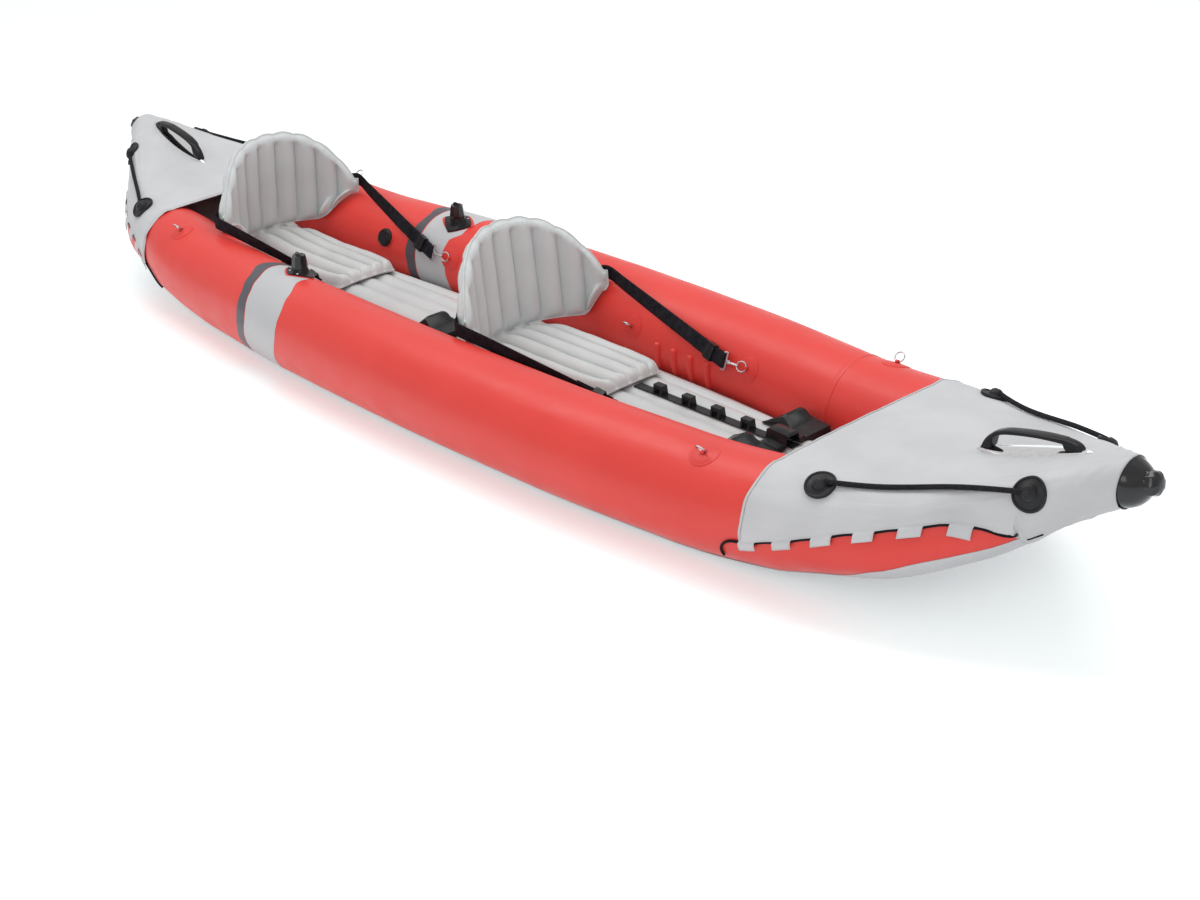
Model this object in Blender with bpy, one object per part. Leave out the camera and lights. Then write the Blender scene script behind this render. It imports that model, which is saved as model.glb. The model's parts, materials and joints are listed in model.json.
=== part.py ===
# Two-seat inflatable canoe: two tapered side tubes, an inflated ribbed floor,
# laced spray covers at both ends, channelled seats and clip-in footrests.
# Metres. +X is the bow, +Y is port, +Z is up; the hull stands on z = 0.

import math

import bmesh
import bpy
from mathutils import Vector

# Hull, driving dimensions
LENGTH = 3.84
BEAM = 0.94
TUBE_DIAMETER = 0.264
TUBE_SIDES = 16
BOTTOM_SKIN = 0.0022
SKIN_END_SHARE = 0.937
SKIN_EDGE = 137.0
GAP = 0.0004
CENTRE_GAP = 0.0003

# Hull lines: share of the half length, share of the midship tube offset,
# share of the midship tube radius, and the rise of the keel in metres
HULL_LINES = (
    (0.000, 1.000, 1.000, 0.000),
    (0.260, 0.971, 0.992, 0.000),
    (0.469, 0.876, 0.977, 0.000),
    (0.625, 0.791, 0.947, 0.025),
    (0.755, 0.681, 0.650, 0.114),
    (0.859, 0.372, 0.510, 0.204),
    (0.961, 0.000, 0.394, 0.302),
)
# Places of the tube's rings, as shares of the half length
RING_SHARES = (0, 0.20, 0.36, 0.50, 0.607, 0.660, 0.715, 0.770,
               0.825, 0.880, 0.920, 0.961)

# Floor
FLOOR_HALF_LENGTH = 1.36
FLOOR_TOP = 0.141
FLOOR_RIBS = 7
FLOOR_ROUND_START = 1.24
RIB_DEPTH = 0.007

# Covers
COVER_THICKNESS = 0.0018
COVER_EDGES = {1: 1.166, -1: 1.290}
COVER_END = 1.812
COVER_CROWN = 0.012
LACE_END = 1.687
COVER_CORNER_ANGLE = 100.0
LACE_END_ANGLE = 131.0
TAB_COUNT = 6
TAB_SHARE = 0.49
TAB_DEPTH = 0.021
LACE_DIAMETER = 0.0040

# Seats: front edge of the pad, foot of the backrest, lean, curl and its easing
SEATS = {
    "front": (0.44, -0.040, 0.100, 3.55, -6.5),
    "rear": (-0.67, -1.180, -0.100, 4.70, -28.0),
}
PAD_LENGTH = 0.60
PAD_WIDTH = 0.25
PAD_THICKNESS = 0.028
PAD_RIBS = 5
BACK_HEIGHT = 0.296
BACK_CHANNELS = 9
CHANNEL_PITCH = 0.064
BACK_PUFF = 0.019
WELD_FLANGE = 0.0034
BACK_FOOT = 0.1615
WING_CLEARANCE = 0.010
HINGE_RISE = 0.008

# Raised brace ribs inside each tube
BRACE_START = 0.31
BRACE_PITCH = 0.062
BRACE_ANGLE = -97.5
BRACE_RUN = (-0.040, -0.026, 0.026, 0.040)

# Straps and their metal parts
STRAP_WIDTH = 0.038
STRAP_THICKNESS = 0.002
STRAP_TURN_BACK = 0.12
STRAP_RING_ANGLE = -69.0
STRAP_RINGS = {"front": 0.636, "rear": -0.55}
RING_RADIUS = 0.013
RING_WIRE = 0.0019

# Fittings
HANDLE_LENGTH = 0.279
ANCHOR_RADIUS = 0.034
GRAB_LINE = 0.012
ROD_X = -0.60
ROD_ANGLE = -18.0
SOCKET_BORE = 0.036
SOCKET_DEPTH = 0.13
VALVE_RADIUS = 0.0285
CONE_BASE = 0.0003
TRACK_END = 0.975

PORT = 1
STARBOARD = -1
SIDES = {"port": PORT, "starboard": STARBOARD}

HALF = LENGTH / 2
TUBE_RADIUS = TUBE_DIAMETER / 2
TUBE_OFFSET = BEAM / 2 - TUBE_RADIUS
FACET = 360 / TUBE_SIDES
SKIN_LIFT = BOTTOM_SKIN + CENTRE_GAP
COVER_OUTSIDE = GAP + COVER_THICKNESS
UP = Vector((0, 0, 1))
FORWARD = Vector((1, 0, 0))


# Materials

def material(name, colour, roughness, metallic=0.0):
    made = bpy.data.materials.get(name)
    if made:
        return made
    made = bpy.data.materials.new(name)
    made.use_nodes = True
    shader = made.node_tree.nodes["Principled BSDF"]
    shader.inputs["Base Color"].default_value = (*colour, 1)
    shader.inputs["Roughness"].default_value = roughness
    shader.inputs["Metallic"].default_value = metallic
    made.diffuse_color = (*colour, 1)
    return made


def red_vinyl():
    return material("red_vinyl", (0.80, 0.07, 0.05), 0.38)


def grey_vinyl():
    return material("grey_vinyl", (0.60, 0.61, 0.62), 0.45)


def cover_fabric():
    return material("cover_fabric", (0.61, 0.62, 0.63), 0.55)


def seat_vinyl():
    return material("seat_vinyl", (0.50, 0.50, 0.49), 0.50)


def floor_vinyl():
    return material("floor_vinyl", (0.68, 0.69, 0.69), 0.45)


def black_plastic():
    return material("black_plastic", (0.012, 0.012, 0.014), 0.32)


def black_rubber():
    return material("black_rubber", (0.015, 0.015, 0.017), 0.55)


def black_webbing():
    return material("black_webbing", (0.014, 0.014, 0.018), 0.85)


def black_rope():
    return material("black_rope", (0.018, 0.018, 0.020), 0.80)


def bright_metal():
    return material("bright_metal", (0.75, 0.75, 0.76), 0.22, 1.0)


# Mesh building

def finish(name, bm, look, origin=None, sharp=38):
    """Turn a bmesh in world coordinates into an object with its origin placed."""
    bmesh.ops.recalc_face_normals(bm, faces=bm.faces)
    place = Vector(origin) if origin else Vector()
    bmesh.ops.translate(bm, verts=bm.verts, vec=-place)
    mesh = bpy.data.meshes.new(name)
    bm.to_mesh(mesh)
    bm.free()
    mesh.shade_smooth()
    mesh.set_sharp_from_angle(angle=math.radians(sharp))
    mesh.materials.append(look)
    thing = bpy.data.objects.new(name, mesh)
    thing.location = place
    bpy.context.collection.objects.link(thing)
    return thing


def sheet(bm, inner, outer, present=None):
    """A closed skin between two grids of points; present(i, j) keeps a cell.
    A cell that isn't flat folds along the diagonal that stands outward."""
    rows = len(inner)
    columns = len(inner[0])
    made = {}

    def vertex(layer, i, j):
        key = (layer, i, j)
        if key not in made:
            grid = outer if layer else inner
            made[key] = bm.verts.new(grid[i][j])
        return made[key]

    def kept(i, j):
        inside = 0 <= i < rows - 1 and 0 <= j < columns - 1
        return inside and (present is None or present(i, j))

    def folded(corners):
        over = [Vector(outer[i][j]) for i, j in corners]
        under = [Vector(inner[i][j]) for i, j in corners]
        outward = sum(over, Vector()) - sum(under, Vector())
        bend = (over[0] + over[2] - over[1] - over[3]).dot(outward.normalized())
        if abs(bend) < FLAT_ENOUGH:
            return [corners]
        a, b, c, d = corners
        return [(a, b, c), (a, c, d)] if bend > 0 else [(b, c, d), (b, d, a)]

    for i in range(rows - 1):
        for j in range(columns - 1):
            if not kept(i, j):
                continue
            corners = ((i, j), (i + 1, j), (i + 1, j + 1), (i, j + 1))
            for piece in folded(corners):
                bm.faces.new([vertex(1, *c) for c in piece])
                bm.faces.new([vertex(0, *c) for c in reversed(piece)])
            beyond = ((i, j - 1), (i + 1, j), (i, j + 1), (i - 1, j))
            for side in range(4):
                if kept(*beyond[side]):
                    continue
                a = corners[side]
                b = corners[(side + 1) % 4]
                bm.faces.new([vertex(0, *a), vertex(0, *b), vertex(1, *b), vertex(1, *a)])


FLAT_ENOUGH = 0.00005


def loft(bm, rings, fans=True):
    """A closed body through rings of equal count, its ends closed by fans."""
    made = [[bm.verts.new(point) for point in ring] for ring in rings]
    count = len(rings[0])
    for low, high in zip(made, made[1:]):
        for k in range(count):
            after = (k + 1) % count
            bm.faces.new([low[k], low[after], high[after], high[k]])
    for ring, points in ((made[0], rings[0]), (made[-1], rings[-1])):
        if not fans:
            bm.faces.new(ring)
            continue
        middle = bm.verts.new(sum((Vector(p) for p in points), Vector()) / count)
        for k in range(count):
            bm.faces.new([ring[k], ring[(k + 1) % count], middle])


def turned(bm, place, profile, segments, outline=None):
    """A body of rings (radius, height) set on a surface by place(u, v, height)."""
    rings = []
    for radius, height in profile:
        ring = []
        for k in range(segments):
            turn = 2 * math.pi * k / segments
            reach = radius if outline is None else outline(radius, turn)
            ring.append(place(reach * math.cos(turn), reach * math.sin(turn), height))
        rings.append(ring)
    loft(bm, rings)


def torus(bm, centre, across, along, radius, wire, segments=10, sides=5):
    """A round wire ring in the plane of two unit vectors, a corner at its foot."""
    points = []
    for k in range(segments):
        turn = 2 * math.pi * k / segments - math.pi / 2
        points.append(centre + radius * (math.cos(turn) * across + math.sin(turn) * along))
    closed_wire(bm, wire_rings(points, wire, sides, across.cross(along), closed=True))


def cord(name, points, diameter, look, roundness=1):
    """A round cord along its points."""
    curve = bpy.data.curves.new(name, "CURVE")
    curve.dimensions = "3D"
    curve.bevel_depth = diameter / 2
    curve.bevel_resolution = roundness
    curve.use_fill_caps = True
    spline = curve.splines.new("POLY")
    spline.points.add(len(points) - 1)
    for knot, point in zip(spline.points, points):
        knot.co = (*point, 1)
    spline.use_smooth = True
    curve.materials.append(look)
    thing = bpy.data.objects.new(name, curve)
    bpy.context.collection.objects.link(thing)
    return thing


def wire_rings(points, radius, sides, first_side, closed=False):
    """Rings of a round wire through points, kept square to its run."""
    count = len(points)
    rings = []
    across = Vector(first_side)
    for k in range(count):
        after = points[(k + 1) % count] if closed or k + 1 < count else points[k]
        before = points[k - 1] if closed or k else points[k]
        along = (after - before).normalized()
        across = (across - along * across.dot(along)).normalized()
        other = along.cross(across)
        rings.append([points[k] + radius * (math.cos(2 * math.pi * m / sides) * across
                                            + math.sin(2 * math.pi * m / sides) * other)
                      for m in range(sides)])
    return rings


def closed_wire(bm, rings):
    """Join the rings of an endless wire."""
    made = [[bm.verts.new(point) for point in ring] for ring in rings]
    for k, low in enumerate(made):
        high = made[(k + 1) % len(made)]
        for m in range(len(low)):
            after = (m + 1) % len(low)
            bm.faces.new([low[m], low[after], high[after], high[m]])


def guide(name, bm):
    """A helper shape that only serves a Boolean of its neighbour."""
    thing = finish(name, bm, red_vinyl())
    thing.hide_render = True
    thing.display_type = "WIRE"
    return thing


def boolean(thing, operand, operation):
    change = thing.modifiers.new(operand.name, "BOOLEAN")
    change.operation = operation
    change.solver = "EXACT"
    change.object = operand


def mirrored(points, side):
    return [Vector((p[0], p[1] * side, p[2])) for p in points]


# Hull lines

def smooth_line(x, column):
    """Monotone cubic through one column of the hull lines."""
    u = abs(x) / HALF
    knots = [row[0] for row in HULL_LINES]
    values = [row[column] for row in HULL_LINES]
    spans = [b - a for a, b in zip(knots, knots[1:])]
    slopes = [(b - a) / h for a, b, h in zip(values, values[1:], spans)]
    tangents = [0.0]
    for left, right in zip(slopes, slopes[1:]):
        steady = left * right > 0
        tangents.append(2 * left * right / (left + right) if steady else 0.0)
    tangents.append(slopes[-1])
    k = max(i for i in range(len(spans)) if knots[i] <= u or i == 0)
    h = spans[k]
    t = min((u - knots[k]) / h, 1.0)
    rise = (2 * t ** 3 - 3 * t ** 2 + 1) * values[k] + (3 * t ** 2 - 2 * t ** 3) * values[k + 1]
    bend = (t ** 3 - 2 * t ** 2 + t) * tangents[k] + (t ** 3 - t ** 2) * tangents[k + 1]
    return rise + h * bend


def ring_values(x):
    radius = TUBE_RADIUS * smooth_line(x, 2)
    return TUBE_OFFSET * smooth_line(x, 1), radius, SKIN_LIFT + smooth_line(x, 3) + radius


RING_PLACES = sorted({round(sign * share * HALF, 6) for share in RING_SHARES for sign in (-1, 1)})
RING_TABLE = [ring_values(x) for x in RING_PLACES]


def tube_section(x):
    """Offset, radius and height of the tube's axis, straight between its rings."""
    last = len(RING_PLACES) - 2
    k = max([i for i in range(last + 1) if RING_PLACES[i] <= x] or [0])
    t = (x - RING_PLACES[k]) / (RING_PLACES[k + 1] - RING_PLACES[k])
    return tuple(a + (b - a) * t for a, b in zip(RING_TABLE[k], RING_TABLE[k + 1]))


def hull_point(side, x, angle, lift=0.0):
    """A point on a side tube; the angle runs from its top, outboard positive."""
    offset, radius, height = tube_section(x)
    k = math.floor(angle / FACET + 1e-9)
    t = angle / FACET - k
    low = math.radians(k * FACET)
    high = math.radians((k + 1) * FACET)
    out = radius * ((1 - t) * math.sin(low) + t * math.sin(high))
    rise = radius * ((1 - t) * math.cos(low) + t * math.cos(high))
    turn = math.radians(angle)
    y = offset + out + lift * math.sin(turn)
    return Vector((x, side * max(y, CENTRE_GAP), height + rise + lift * math.cos(turn)))


def round_point(side, x, angle, lift=0.0):
    """A point over a side tube, measured from the true round and not its facets."""
    offset, radius, height = tube_section(x)
    turn = math.radians(angle)
    reach = radius + lift
    return Vector((x, side * (offset + reach * math.sin(turn)), height + reach * math.cos(turn)))


def on_tube(side, x, angle, base=0.0):
    """Place points (along, around, height) on a side tube near x and angle."""
    radius = tube_section(x)[1]

    def place(u, v, height):
        return round_point(side, x + u, angle + math.degrees(v / radius), base + height)

    return place


def tube_frame(side, x, angle, lift=0.0):
    """Origin, around and outward unit vectors of a flat seat on a side tube."""
    turn = math.radians(angle)
    outward = Vector((0, side * math.sin(turn), math.cos(turn)))
    around = Vector((0, side * math.cos(turn), -math.sin(turn)))
    return hull_point(side, x, angle, lift), around, outward


# Hull pieces

def side_tube(name, side):
    bm = bmesh.new()
    rings = []
    for x in RING_PLACES:
        rings.append([hull_point(side, x, k * FACET) for k in range(TUBE_SIDES)])
    loft(bm, rings)
    return finish(name, bm, red_vinyl(), sharp=60)


def rib_envelope(share):
    """Height of the floor's rib tops across its half width, 0 at the middle."""
    crown = FLOOR_TOP - 0.0035 * (share / 0.27) ** 2
    if share <= 0.53:
        return crown
    return FLOOR_TOP - 0.0135 - 0.062 * ((share - 0.53) / 0.47) ** 1.25


def floor_half_width(x):
    """Half width where the floor's edge meets the tubes, at the crease."""
    offset, radius, height = tube_section(x)
    rise = keel_rise(x)
    crease = 0.060 + rise
    inside = math.sqrt(max(radius ** 2 - (height - crease) ** 2, 0))
    return offset - inside - 0.003


def keel_rise(x):
    return tube_section(x)[2] - tube_section(x)[1] - SKIN_LIFT


def floor_top(x, y):
    """Height of the floor's rib tops at a place in the cockpit."""
    share = abs(y) / floor_half_width(x)
    return rib_envelope(min(share, 1.0)) + keel_rise(x)


def floor_stations():
    ends = [FLOOR_ROUND_START, FLOOR_HALF_LENGTH - 0.040, FLOOR_HALF_LENGTH - 0.012, FLOOR_HALF_LENGTH]
    marks = ends + [-x for x in ends]
    rings = [x for x in RING_PLACES if abs(x) < FLOOR_HALF_LENGTH]
    return sorted(marks + [x for x in rings if min(abs(x - mark) for mark in marks) > 0.006])


FLOOR_EDGE = ((0.985, 0.045), (0.91, 0.020), (0.76, SKIN_LIFT + 0.0005),
              (-0.76, SKIN_LIFT + 0.0005), (-0.91, 0.020), (-0.985, 0.045))


def floor_chamber():
    """An air mattress of lengthwise ribs that fills the hull from tube to tube."""
    bm = bmesh.new()
    steps = FLOOR_RIBS * 3
    rings = []
    for x in floor_stations():
        width = floor_half_width(x)
        rise = keel_rise(x)
        beyond = max(0.0, abs(x) - FLOOR_ROUND_START) / (FLOOR_HALF_LENGTH - FLOOR_ROUND_START)
        end = math.sqrt(1.12 - beyond ** 2) / math.sqrt(1.12)
        middle = 0.055 + rise
        ring = []
        for k in range(steps + 1):
            place = -1 + 2 * k / steps
            seam = 1 - abs(math.sin(math.pi * FLOOR_RIBS * (place + 1) / 2)) / math.sin(math.pi / 3)
            drop = RIB_DEPTH * seam if 0 < k < steps else 0.0
            top = rib_envelope(abs(place)) - drop + rise
            ring.append((x, width * place, middle + (top - middle) * end))
        for place, height in FLOOR_EDGE:
            ring.append((x, width * place, middle + (height + rise - middle) * end))
        rings.append(ring)
    loft(bm, rings)
    return finish("floor_chamber", bm, floor_vinyl(), sharp=50)


def skin_edge(x):
    """Angle where the bottom skin ends, just below the tips of the cover's tabs."""
    radius = tube_section(x)[1]
    return min(max(SKIN_EDGE, lace_angle(x) + math.degrees(TAB_DEPTH / radius) + 3), 7 * FACET - 3)


def hull_bottom():
    """The tough skin wrapped round the keel side of both tubes and across."""
    bm = bmesh.new()
    inner = []
    outer = []
    last = SKIN_END_SHARE * HALF
    places = [-last] + [x for x in RING_PLACES if abs(x) < last - 0.01] + [last]
    for x in places:
        edge = skin_edge(x)
        angles = (edge, 7 * FACET, 180)
        spots = [(PORT, angle) for angle in angles] + [(STARBOARD, angle) for angle in reversed(angles)]
        inner.append([hull_point(side, x, angle, CENTRE_GAP) for side, angle in spots])
        outer.append([hull_point(side, x, angle, SKIN_LIFT) for side, angle in spots])
    sheet(bm, inner, outer)
    return finish("hull_bottom", bm, grey_vinyl(), sharp=50)


def rib_shapes(bm, side):
    """Raised welded ribs inside a tube, where knees and feet brace."""
    for k in range(4):
        place = on_tube(side, BRACE_START + BRACE_PITCH * k, BRACE_ANGLE)
        inner = []
        outer = []
        for along in (-0.0080, 0, 0.0080):
            inner.append([place(along, around, -0.008) for around in BRACE_RUN])
            proud = -0.004 if along else 0.0060
            outer.append([place(along, around, -0.004 if abs(around) > 0.035 else proud) for around in BRACE_RUN])
        sheet(bm, inner, outer)


# Spray covers

def cover_edge(x):
    """Distance from midships of the open edge of the cover that x lies under."""
    return COVER_EDGES[1 if x > 0 else -1]


def lace_angle(x):
    """Angle of the cover's lower edge on the tube at a place along the hull."""
    share = (abs(x) - cover_edge(x)) / (LACE_END - cover_edge(x))
    return COVER_CORNER_ANGLE + (LACE_END_ANGLE - COVER_CORNER_ANGLE) * min(share, 1.0)


def tab_spans(end):
    """Where each laced tab starts and stops, with narrow gaps between them."""
    cell = (LACE_END - COVER_EDGES[end]) / (TAB_COUNT - 1 + TAB_SHARE)
    starts = [COVER_EDGES[end] + cell * k for k in range(TAB_COUNT)]
    return [(start, start + cell * TAB_SHARE) for start in starts]


TAB_ROWS = ((0.0030, 0.0070), (TAB_DEPTH, 0.0066))
CROWN_RUN = 0.25


def cover_columns(x, lift):
    """Points across the cover at one station, from the port tab tip round to starboard."""
    radius = tube_section(x)[1]
    lowest = lace_angle(x)
    down = []
    for depth, proud in reversed(TAB_ROWS):
        down.append((lowest + math.degrees(depth / radius), proud))
    corner = 5 * FACET
    between = corner if lowest > corner + 0.1 else (4 * FACET + lowest) / 2
    for angle in (lowest, between, *(FACET * k for k in range(4, -1, -1))):
        down.append((angle, GAP))
    across = []
    for angle, proud in down:
        across.append(hull_point(PORT, x, angle, proud + lift))
    offset, _, height = tube_section(x)
    top = height + radius + GAP + lift
    inboard = abs(x) - cover_edge(x)
    crown = COVER_CROWN * min(1.0, 0.35 + inboard / CROWN_RUN) * min(1.0, offset / 0.1)
    for share in (0.62, 0.0, -0.62):
        across.append(Vector((x, offset * share, top + crown * (1 - share ** 2))))
    for angle, proud in reversed(down):
        across.append(hull_point(STARBOARD, x, angle, proud + lift))
    return across


def cover_stations(end):
    """Distances from midships of the cover's cross rows: tab edges, hull rings and
    the place where the laced edge passes a corner of the tube."""
    edge = COVER_EDGES[end]
    marks = [p for p in RING_PLACES if edge + 0.01 < p < COVER_END - 0.01]
    turned_corner = (5 * FACET - COVER_CORNER_ANGLE) / (LACE_END_ANGLE - COVER_CORNER_ANGLE)
    marks.append(edge + turned_corner * (LACE_END - edge))
    for span in tab_spans(end):
        marks += [mark for mark in span if min(abs(mark - other) for other in marks) > STATION_GAP]
    return sorted(marks) + [COVER_END]


STATION_GAP = 0.0035


def spray_cover(name, end):
    """A cover over one end, its lower edges cut into tabs for the lacing."""
    bm = bmesh.new()
    stations = cover_stations(end)
    inner = [cover_columns(end * x, 0.0) for x in stations]
    outer = [cover_columns(end * x, COVER_THICKNESS) for x in stations]
    columns = len(inner[0]) - 1
    tab_cells = len(TAB_ROWS)
    spans = tab_spans(end)

    def present(i, j):
        if tab_cells <= j < columns - tab_cells:
            return True
        middle = (stations[i] + stations[i + 1]) / 2
        return any(start < middle < stop for start, stop in spans)

    sheet(bm, inner, outer, present)
    return finish(name, bm, cover_fabric(), sharp=50)


LACE_LIFT = LACE_DIAMETER / 2 + 0.0006
LACE_DEPTH = 0.0078
LACE_BEFORE = 0.004
LACE_BEYOND = 0.012


def lacing_run(end, side):
    """The lace under the tabs of one edge, from the first tab to past the last."""
    places = [COVER_EDGES[end] - LACE_BEFORE]
    places += [x for x in cover_stations(end) if x < LACE_END + LACE_BEYOND - 0.004]
    places.append(LACE_END + LACE_BEYOND)
    points = []
    for place in places:
        x = end * place
        angle = lace_angle(x) + math.degrees(LACE_DEPTH / tube_section(x)[1])
        points.append(hull_point(side, x, angle, LACE_LIFT))
    return points


LACE_TAIL_BACK = 0.072
LACE_TAIL_FALL = 15.0


def lace_free_end(end):
    """The tail of the starboard lace, led aft and bending down the tube's side."""
    points = []
    steps = 11
    for k in range(steps + 1):
        turn = math.pi / 2 * k / steps
        back = LACE_BEFORE + 0.0008 + LACE_TAIL_BACK * math.sin(turn) ** 0.85
        fall = LACE_TAIL_FALL * (1 - math.cos(turn) ** 0.85)
        x = end * (COVER_EDGES[end] - back)
        start = COVER_CORNER_ANGLE + math.degrees(LACE_DEPTH / tube_section(x)[1])
        points.append(hull_point(STARBOARD, x, start + fall, LACE_LIFT + 0.0004))
    return points


# End fittings

BASE_SEAT = 0.0013


def cover_centre(x):
    """Height of the cover's top on the centre line."""
    middle = cover_columns(x, COVER_THICKNESS)
    return middle[len(middle) // 2].z


def handle_base(name, end, start):
    """A boat-shaped moulded plate on the cover's centre line."""
    bm = bmesh.new()
    shares = [0, 0.06, 0.18, 0.36, 0.64, 0.82, 0.94, 1]
    stations = [start + HANDLE_LENGTH * share for share in shares]
    stations += [x for x in RING_PLACES if start + 0.008 < x < start + HANDLE_LENGTH - 0.008]
    inner = []
    outer = []
    for station in sorted(stations):
        x = end * station
        share = (station - start) / HANDLE_LENGTH
        swell = 1 - abs(2 * share - 1) ** 2.3
        half = 0.0035 + 0.0225 * swell
        low = cover_centre(x) + BASE_SEAT
        under = []
        over = []
        for across in (-1, -0.5, 0.5, 1):
            y = across * half
            dip = cover_side_drop(x, y)
            under.append(Vector((x, y, low - dip)))
            over.append(Vector((x, y, low - dip + (0.0032 if abs(across) == 1 else 0.0065))))
        inner.append(under)
        outer.append(over)
    sheet(bm, inner, outer)
    return finish(name, bm, black_plastic(), sharp=30)


def cover_side_drop(x, y):
    """How far the cover lies below its centre line at a small offset."""
    row = cover_columns(x, COVER_THICKNESS)
    middle = len(row) // 2
    beside = row[middle - 1]
    return (row[middle].z - beside.z) * min(abs(y) / beside.y, 1.0)


GRIP_HALF_WIDTH = 0.011
# Grip outline over the base: share of the base length and height above the cover
GRIP_OUTLINE = ((0.065, 0.012), (0.10, 0.038), (0.17, 0.049), (0.29, 0.051), (0.43, 0.046),
                (0.60, 0.040), (0.76, 0.032), (0.86, 0.024), (0.905, 0.012))


def handle_grip(name, end, start):
    """An arched grip with a finger opening, standing on its base at two feet."""
    bm = bmesh.new()
    bar = 0.013
    inner = []
    outer = []
    for share, height in GRIP_OUTLINE:
        x = end * (start + HANDLE_LENGTH * share)
        foot = cover_centre(x) + BASE_SEAT + 0.0065 + GAP
        top = cover_centre(x) + height
        under = max(foot + 0.002, top - bar)
        narrow = 0.75 if share in (GRIP_OUTLINE[0][0], GRIP_OUTLINE[-1][0]) else 1
        for grid, side in ((inner, -1), (outer, 1)):
            y = side * GRIP_HALF_WIDTH * narrow
            grid.append([Vector((x, y, foot)), Vector((x, y, under)), Vector((x, y, top))])
    last = len(GRIP_OUTLINE) - 2

    def present(i, j):
        return j == 1 or i < 2 or i > last - 2

    sheet(bm, inner, outer, present)
    return finish(name, bm, black_plastic(), sharp=30)


def nose_cone(name, end):
    """A moulded cone over the pointed end of both tubes, with a fluted nut at its tip."""
    bm = bmesh.new()
    start = RING_PLACES[-1] + CONE_BASE
    _, radius, height = tube_section(RING_PLACES[-1])
    rings = []
    for along, share, lean, flutes in (
            (0.0, 0.98, 0.0, 0), (0.16, 1.0, 0.5, 0), (0.38, 0.84, 1.0, 0),
            (0.65, 0.50, 1.0, 0), (0.665, 0.54, 1.0, 8),
            (0.80, 0.51, 1.0, 8), (0.90, 0.42, 1.0, 8), (0.958, 0.22, 1.0, 0)):
        rings.append(cone_ring(end, start, along * (HALF - start), radius * share, height, lean, 16, flutes))
    loft(bm, rings)
    return finish(name, bm, black_plastic(), sharp=35)


CONE_RISE = math.radians(15)


def cone_ring(end, start, along, radius, height, lean, count, facets=0):
    """One ring of the cone, leaning back as its axis turns upward."""
    tilt = CONE_RISE * lean
    centre = Vector((start + along, 0, height + along * math.tan(CONE_RISE)))
    ring = []
    for k in range(count):
        turn = 2 * math.pi * k / count
        reach = radius
        if facets:
            reach = radius * (1 - 0.07 * (1 - math.cos(facets * turn)) / 2)
        up = reach * math.cos(turn)
        x = centre.x - up * math.sin(tilt)
        ring.append(Vector((end * x, reach * math.sin(turn), centre.z + up * math.cos(tilt))))
    return ring


# Grab lines

ANCHORS = {1: ((1.309, 24.0), (1.713, 57.0)), -1: ((1.415, 35.0), (1.729, 60.0))}
HUB_RADIUS = 0.0125
HUB_HEIGHT = 0.0165


def anchor_shape(bm, end, side, x, angle):
    """A round rubber pad with a raised rim and the hub that holds the line."""
    base = 0.0012
    profile = ((0.012, base), (ANCHOR_RADIUS, base), (ANCHOR_RADIUS - 0.002, 0.0056),
               (HUB_RADIUS, 0.0036), (HUB_RADIUS - 0.003, HUB_HEIGHT))
    turned(bm, on_tube(side, end * x, angle, COVER_OUTSIDE), profile, 12)


def grab_line(name, end, side):
    """A rope along one cover edge, moulded into a rubber pad at each end."""
    (x0, a0), (x1, a1) = ANCHORS[end]
    low = COVER_OUTSIDE + GRAB_LINE / 2 + 0.0016
    high = low + 0.0030
    points = []
    steps = 8
    for k in range(steps + 1):
        share = k / steps
        x = x0 + share * (x1 - x0)
        lift = high if share < 0.1 or share > 0.9 else low
        points.append(round_point(side, end * x, a0 + share * (a1 - a0), lift))
    bm = bmesh.new()
    loft(bm, wire_rings(points, GRAB_LINE / 2, 6, UP))
    rope = finish(name, bm, black_rope(), sharp=50)
    for k, (x, angle) in enumerate(ANCHORS[end]):
        pad = bmesh.new()
        anchor_shape(pad, end, side, x, angle)
        boolean(rope, guide(name + "_pad_" + str(k), pad), "UNION")
    return rope


# Rings and patches

def ring_spots():
    """Every ring patch: name, side, place along the hull and angle on the tube."""
    spots = []
    for word, side in SIDES.items():
        spots.append(("bow_ring_" + word, side, 1.00, 20.0))
        spots.append(("stern_ring_" + word, side, -1.15, 22.0))
        spots.append(("spare_ring_" + word, side, 0.206, -73.0))
    return spots


PATCH_RADIUS = 0.036
RING_LIFT = 0.0062
HUB_TOP = 0.0034
KEEPER_WIDTH = 0.005
SINK = 0.005


def keeper_shape(bm, origin, run, outward):
    """A small arch over a ring's wire, its two feet set in the patch."""
    across = outward.cross(run).normalized()
    foot = RING_LIFT - HUB_TOP + 0.0015
    bore = RING_WIRE + 0.0019
    half = run * KEEPER_WIDTH / 2
    grids = []
    for size in (bore, bore + 0.0014):
        line = [(-size, -foot)]
        for turn in (-90, -35, 35, 90):
            line.append((size * math.sin(math.radians(turn)), size * math.cos(math.radians(turn))))
        line.append((size, -foot))
        middles = [origin + across * sideways + outward * rise for sideways, rise in line]
        grids.append([[middle - half, middle + half] for middle in middles])
    sheet(bm, grids[0], grids[1])


def patch_spots(side):
    """Place, angle and keeper direction of each ring patch on one tube."""
    spots = [(x, angle, True) for _, where, x, angle in ring_spots() if where == side]
    return spots + [(x, STRAP_RING_ANGLE, False) for x in STRAP_RINGS.values()]


def patch_shapes(bm, side):
    """Round patches that are welded to one tube and carry its rings."""
    profile = ((PATCH_RADIUS, -SINK), (PATCH_RADIUS, 0.0012), (0.011, HUB_TOP))
    for x, angle, _ in patch_spots(side):
        turned(bm, on_tube(side, x, angle), profile, 12)


def keeper_shapes(bm, side):
    for x, angle, lengthwise in patch_spots(side):
        origin, around, outward = ring_frame(side, x, angle)
        keeper_shape(bm, origin, FORWARD if lengthwise else around, outward)


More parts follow.
